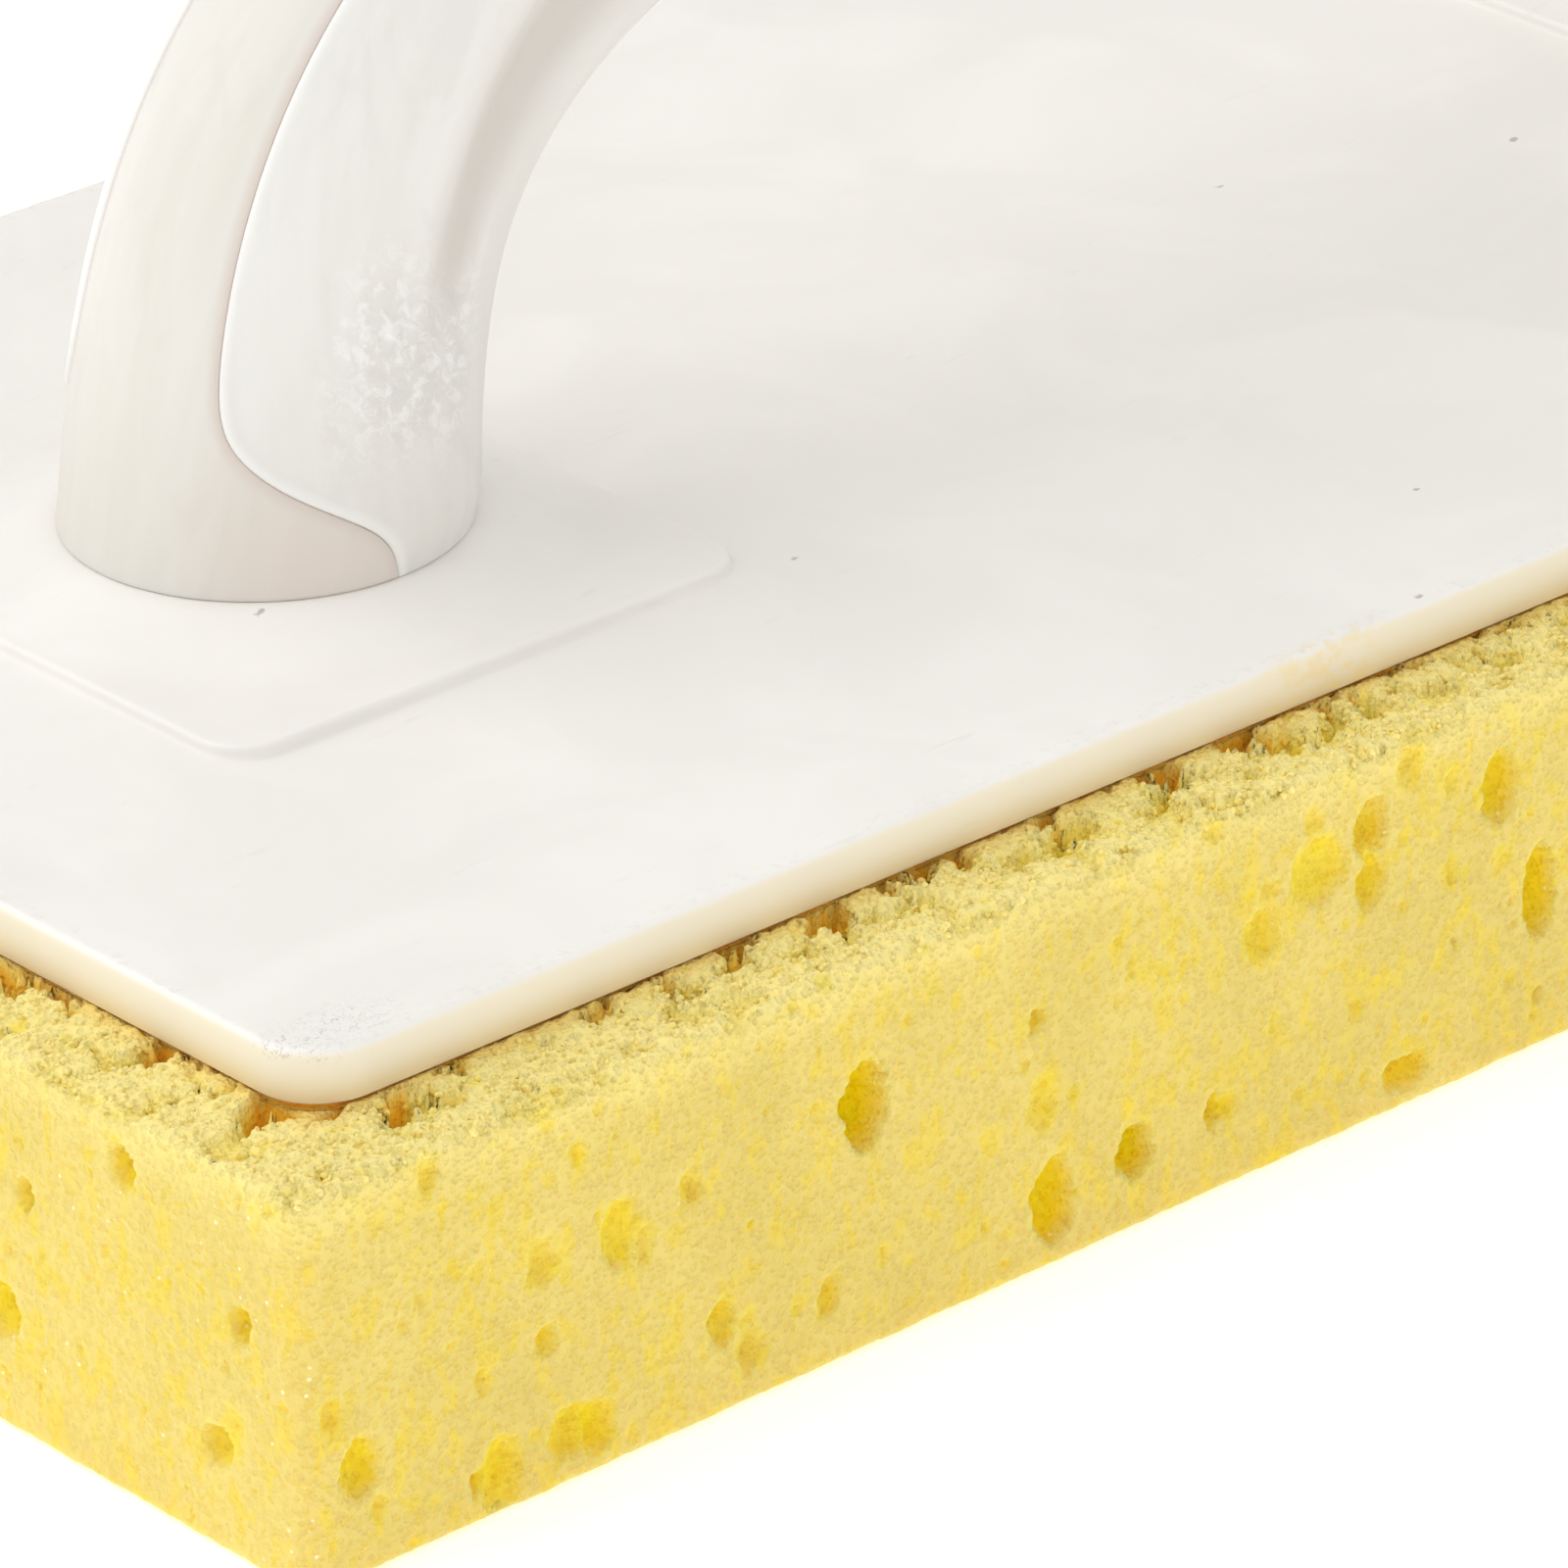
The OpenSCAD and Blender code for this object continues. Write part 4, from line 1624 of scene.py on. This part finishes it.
        drop = to_edge.roll(maker.value("Round edge")) + s.roll(maker.value("Foot edge"))
        flow_x, flow_y = s * side, angle * surface * DEGREE
        flow = Vec.of(tree, flow_x, flow_y, maker.value("Seed"))
        ripple = (flow * (0.05, 0.16, 1.0)).noise(1.0, 2.0) * maker.value("Ripple")
        r = surface - depth - (drop + ripple) * outer
        radians = angle * DEGREE
        c, sn = radians.math("COSINE") * r, radians.math("SINE") * r
        place = Vec.of(tree, px * side + c * nx, sn, pz + c * nz + self.seat_z).scale(MM)
        # Painted shade low on the spine near the foot, beside the seam.
        blush = (1.0 - s.ramp(2.0, 12.5)) * turn.ramp(15.0, 60.0) * (1.0 if spine else 0.0)
        # The frosted flow-mark patch low on the leg, whose white is partly painted glints.
        low_leg = s.ramp(6.0, 14.0) * (1.0 - s.ramp(17.0, 26.0))
        chill = low_leg * turn.ramp(56.0, 74.0) * (1.0 - turn.ramp(104.0, 124.0))
        geometry = maker.store(maker.input_geometry(), "FLOAT_VECTOR", flow=flow)
        # rim marks the shell's seam edges for their painted shade and highlight; shadow marks the flute floor
        # for its painted shade.
        geometry = maker.store(geometry, rim=1.0 - to_edge.ramp(0.05, 1.1), shadow=floor * 0.8,
                               blush=blush, chill=chill)
        maker.move(geometry, material, Position=place)
        return maker

    def build(self, finish: ShellFinish) -> bpy.types.Object:
        """Args:
            finish: Its look.

        Returns:
            The piece.
        """
        piece = self.bend(finish.make()).run(self.sheet())
        closed = bmesh.new()
        closed.from_mesh(piece.data)
        bmesh.ops.recalc_face_normals(closed, faces=closed.faces)
        closed.to_mesh(piece.data)
        closed.free()
        soften(piece)
        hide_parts(f"handle_{self.shell.name.lower()}")
        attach(piece, "root")
        return piece


# ---------------------------------------------------------------- studio


@dataclass(frozen=True)
class Lamp:
    """One square soft light that looks at the object. Its place and side are in metres."""

    name: str
    place: tuple[float, float, float]
    size: float
    watts: float

    def hang(self) -> None:
        """Puts it in the scene."""
        data = bpy.data.lights.new(self.name, "AREA")
        data.shape, data.size, data.energy = "SQUARE", self.size, self.watts
        lamp = bpy.data.objects.new(self.name, data)
        lamp.location = self.place
        lamp.rotation_euler = (Vector((0, 0, 0.03)) - Vector(self.place)).to_track_quat("-Z", "Y").to_euler()
        bpy.context.scene.collection.objects.link(lamp)


@dataclass
class Studio:
    """A pale floor, soft lights and the camera."""

    target: tuple[float, float, float] = (-76.61, -52.50, 33.5)
    turn: float = 48.88
    elevation: float = 26.05
    roll: float = -1.22
    distance: float = 735.95
    lens: float = 251.0
    sensor: float = 36.0
    clip: tuple[float, float] = (0.05, 20.0)
    sky: float = 0.76
    floor_half: float = 6.0
    floor_glow: float = 0.42
    lamps: tuple[Lamp, ...] = (
        Lamp("key", (-0.85, 0.8, 1.32), 2.0, 12.2), Lamp("front", (-0.35, -1.4, 0.30), 1.4, 2.5))

    def camera(self) -> None:
        """Places the camera."""
        a, e, w = (math.radians(v) for v in (self.turn, self.elevation, self.roll))
        ahead = Vector((math.cos(e) * math.cos(a), math.cos(e) * math.sin(a), -math.sin(e)))
        right = ahead.cross(Vector((0, 0, 1))).normalized()
        up = right.cross(ahead)
        right, up = math.cos(w) * right + math.sin(w) * up, -math.sin(w) * right + math.cos(w) * up
        data = bpy.data.cameras.new("camera")
        data.lens, data.sensor_width = self.lens, self.sensor
        data.clip_start, data.clip_end = self.clip
        camera = bpy.data.objects.new("camera", data)
        turned = Matrix((right, up, -ahead)).transposed()
        stand = (Vector(self.target) - ahead * self.distance) * MM
        camera.matrix_world = Matrix.Translation(stand) @ turned.to_4x4()
        bpy.context.scene.collection.objects.link(camera)
        bpy.context.scene.camera = camera

    def floor(self) -> None:
        """Lays the pale floor."""
        size = self.floor_half
        corners = np.array([(-size, -size, 0), (size, -size, 0), (size, size, 0), (-size, size, 0)])
        floor = new_object("floor", corners, [(0, 1, 2, 3)])
        white = (1.0, 1.0, 1.0, 1.0)
        coat = Coat("floor_paper", Base_Color=white, Roughness=0.95, Specular_IOR_Level=0.1,
                    Emission_Color=white, Emission_Strength=self.floor_glow)
        floor.data.materials.append(coat.material)
        floor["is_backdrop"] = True

    def build(self) -> None:
        """Sets up the whole studio."""
        scene = bpy.context.scene
        scene.view_settings.view_transform = "Standard"
        world = bpy.data.worlds.new("studio")
        scene.world = world
        world.use_nodes = True
        sky = world.node_tree.nodes["Background"].inputs
        sky["Color"].default_value = (1.0, 1.0, 1.0, 1.0)
        sky["Strength"].default_value = self.sky
        for lamp in self.lamps:
            lamp.hang()
        self.floor()
        self.camera()


# ---------------------------------------------------------------- assembly


def corners_of(node: str) -> tuple[Vector, Vector]:
    """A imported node's lowest and highest corners, in metres."""
    low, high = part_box(node)
    return Vector(low), Vector(high)


def main() -> None:
    """Builds the float, piece by piece."""
    logging.basicConfig(level=logging.INFO, format="%(name)s: %(message)s")
    sponge, film, plate = (corners_of(n) for n in ("sponge_block", "adhesive_film", "backing_plate"))
    foam = Sponge(*sponge, plate[1])
    block = foam.build(SpongeFinish())
    pieces = [
        block,
        foam.nap(block, block.data.materials[0]),
        Adhesive(*film).build(AdhesiveFinish()),
        Plate(*plate).build(PlateFinish()),
        HandleShell(Shell.SPINE).build(SPINE_FINISH),
        HandleShell(Shell.GRIP).build(GRIP_FINISH),
    ]
    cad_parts["handle_screws"].material_slots[0].material = ScrewFinish().make()
    for piece in pieces:
        piece.data.calc_loop_triangles()
        log.info("%s: %d triangles", piece.name, len(piece.data.loop_triangles))
    Studio().build()
    boxes = {"cad": [list(v) for v in (CAD_LOW, CAD_HIGH)], "visual": [list(v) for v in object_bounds()]}


if __name__ == "__main__":
    main()
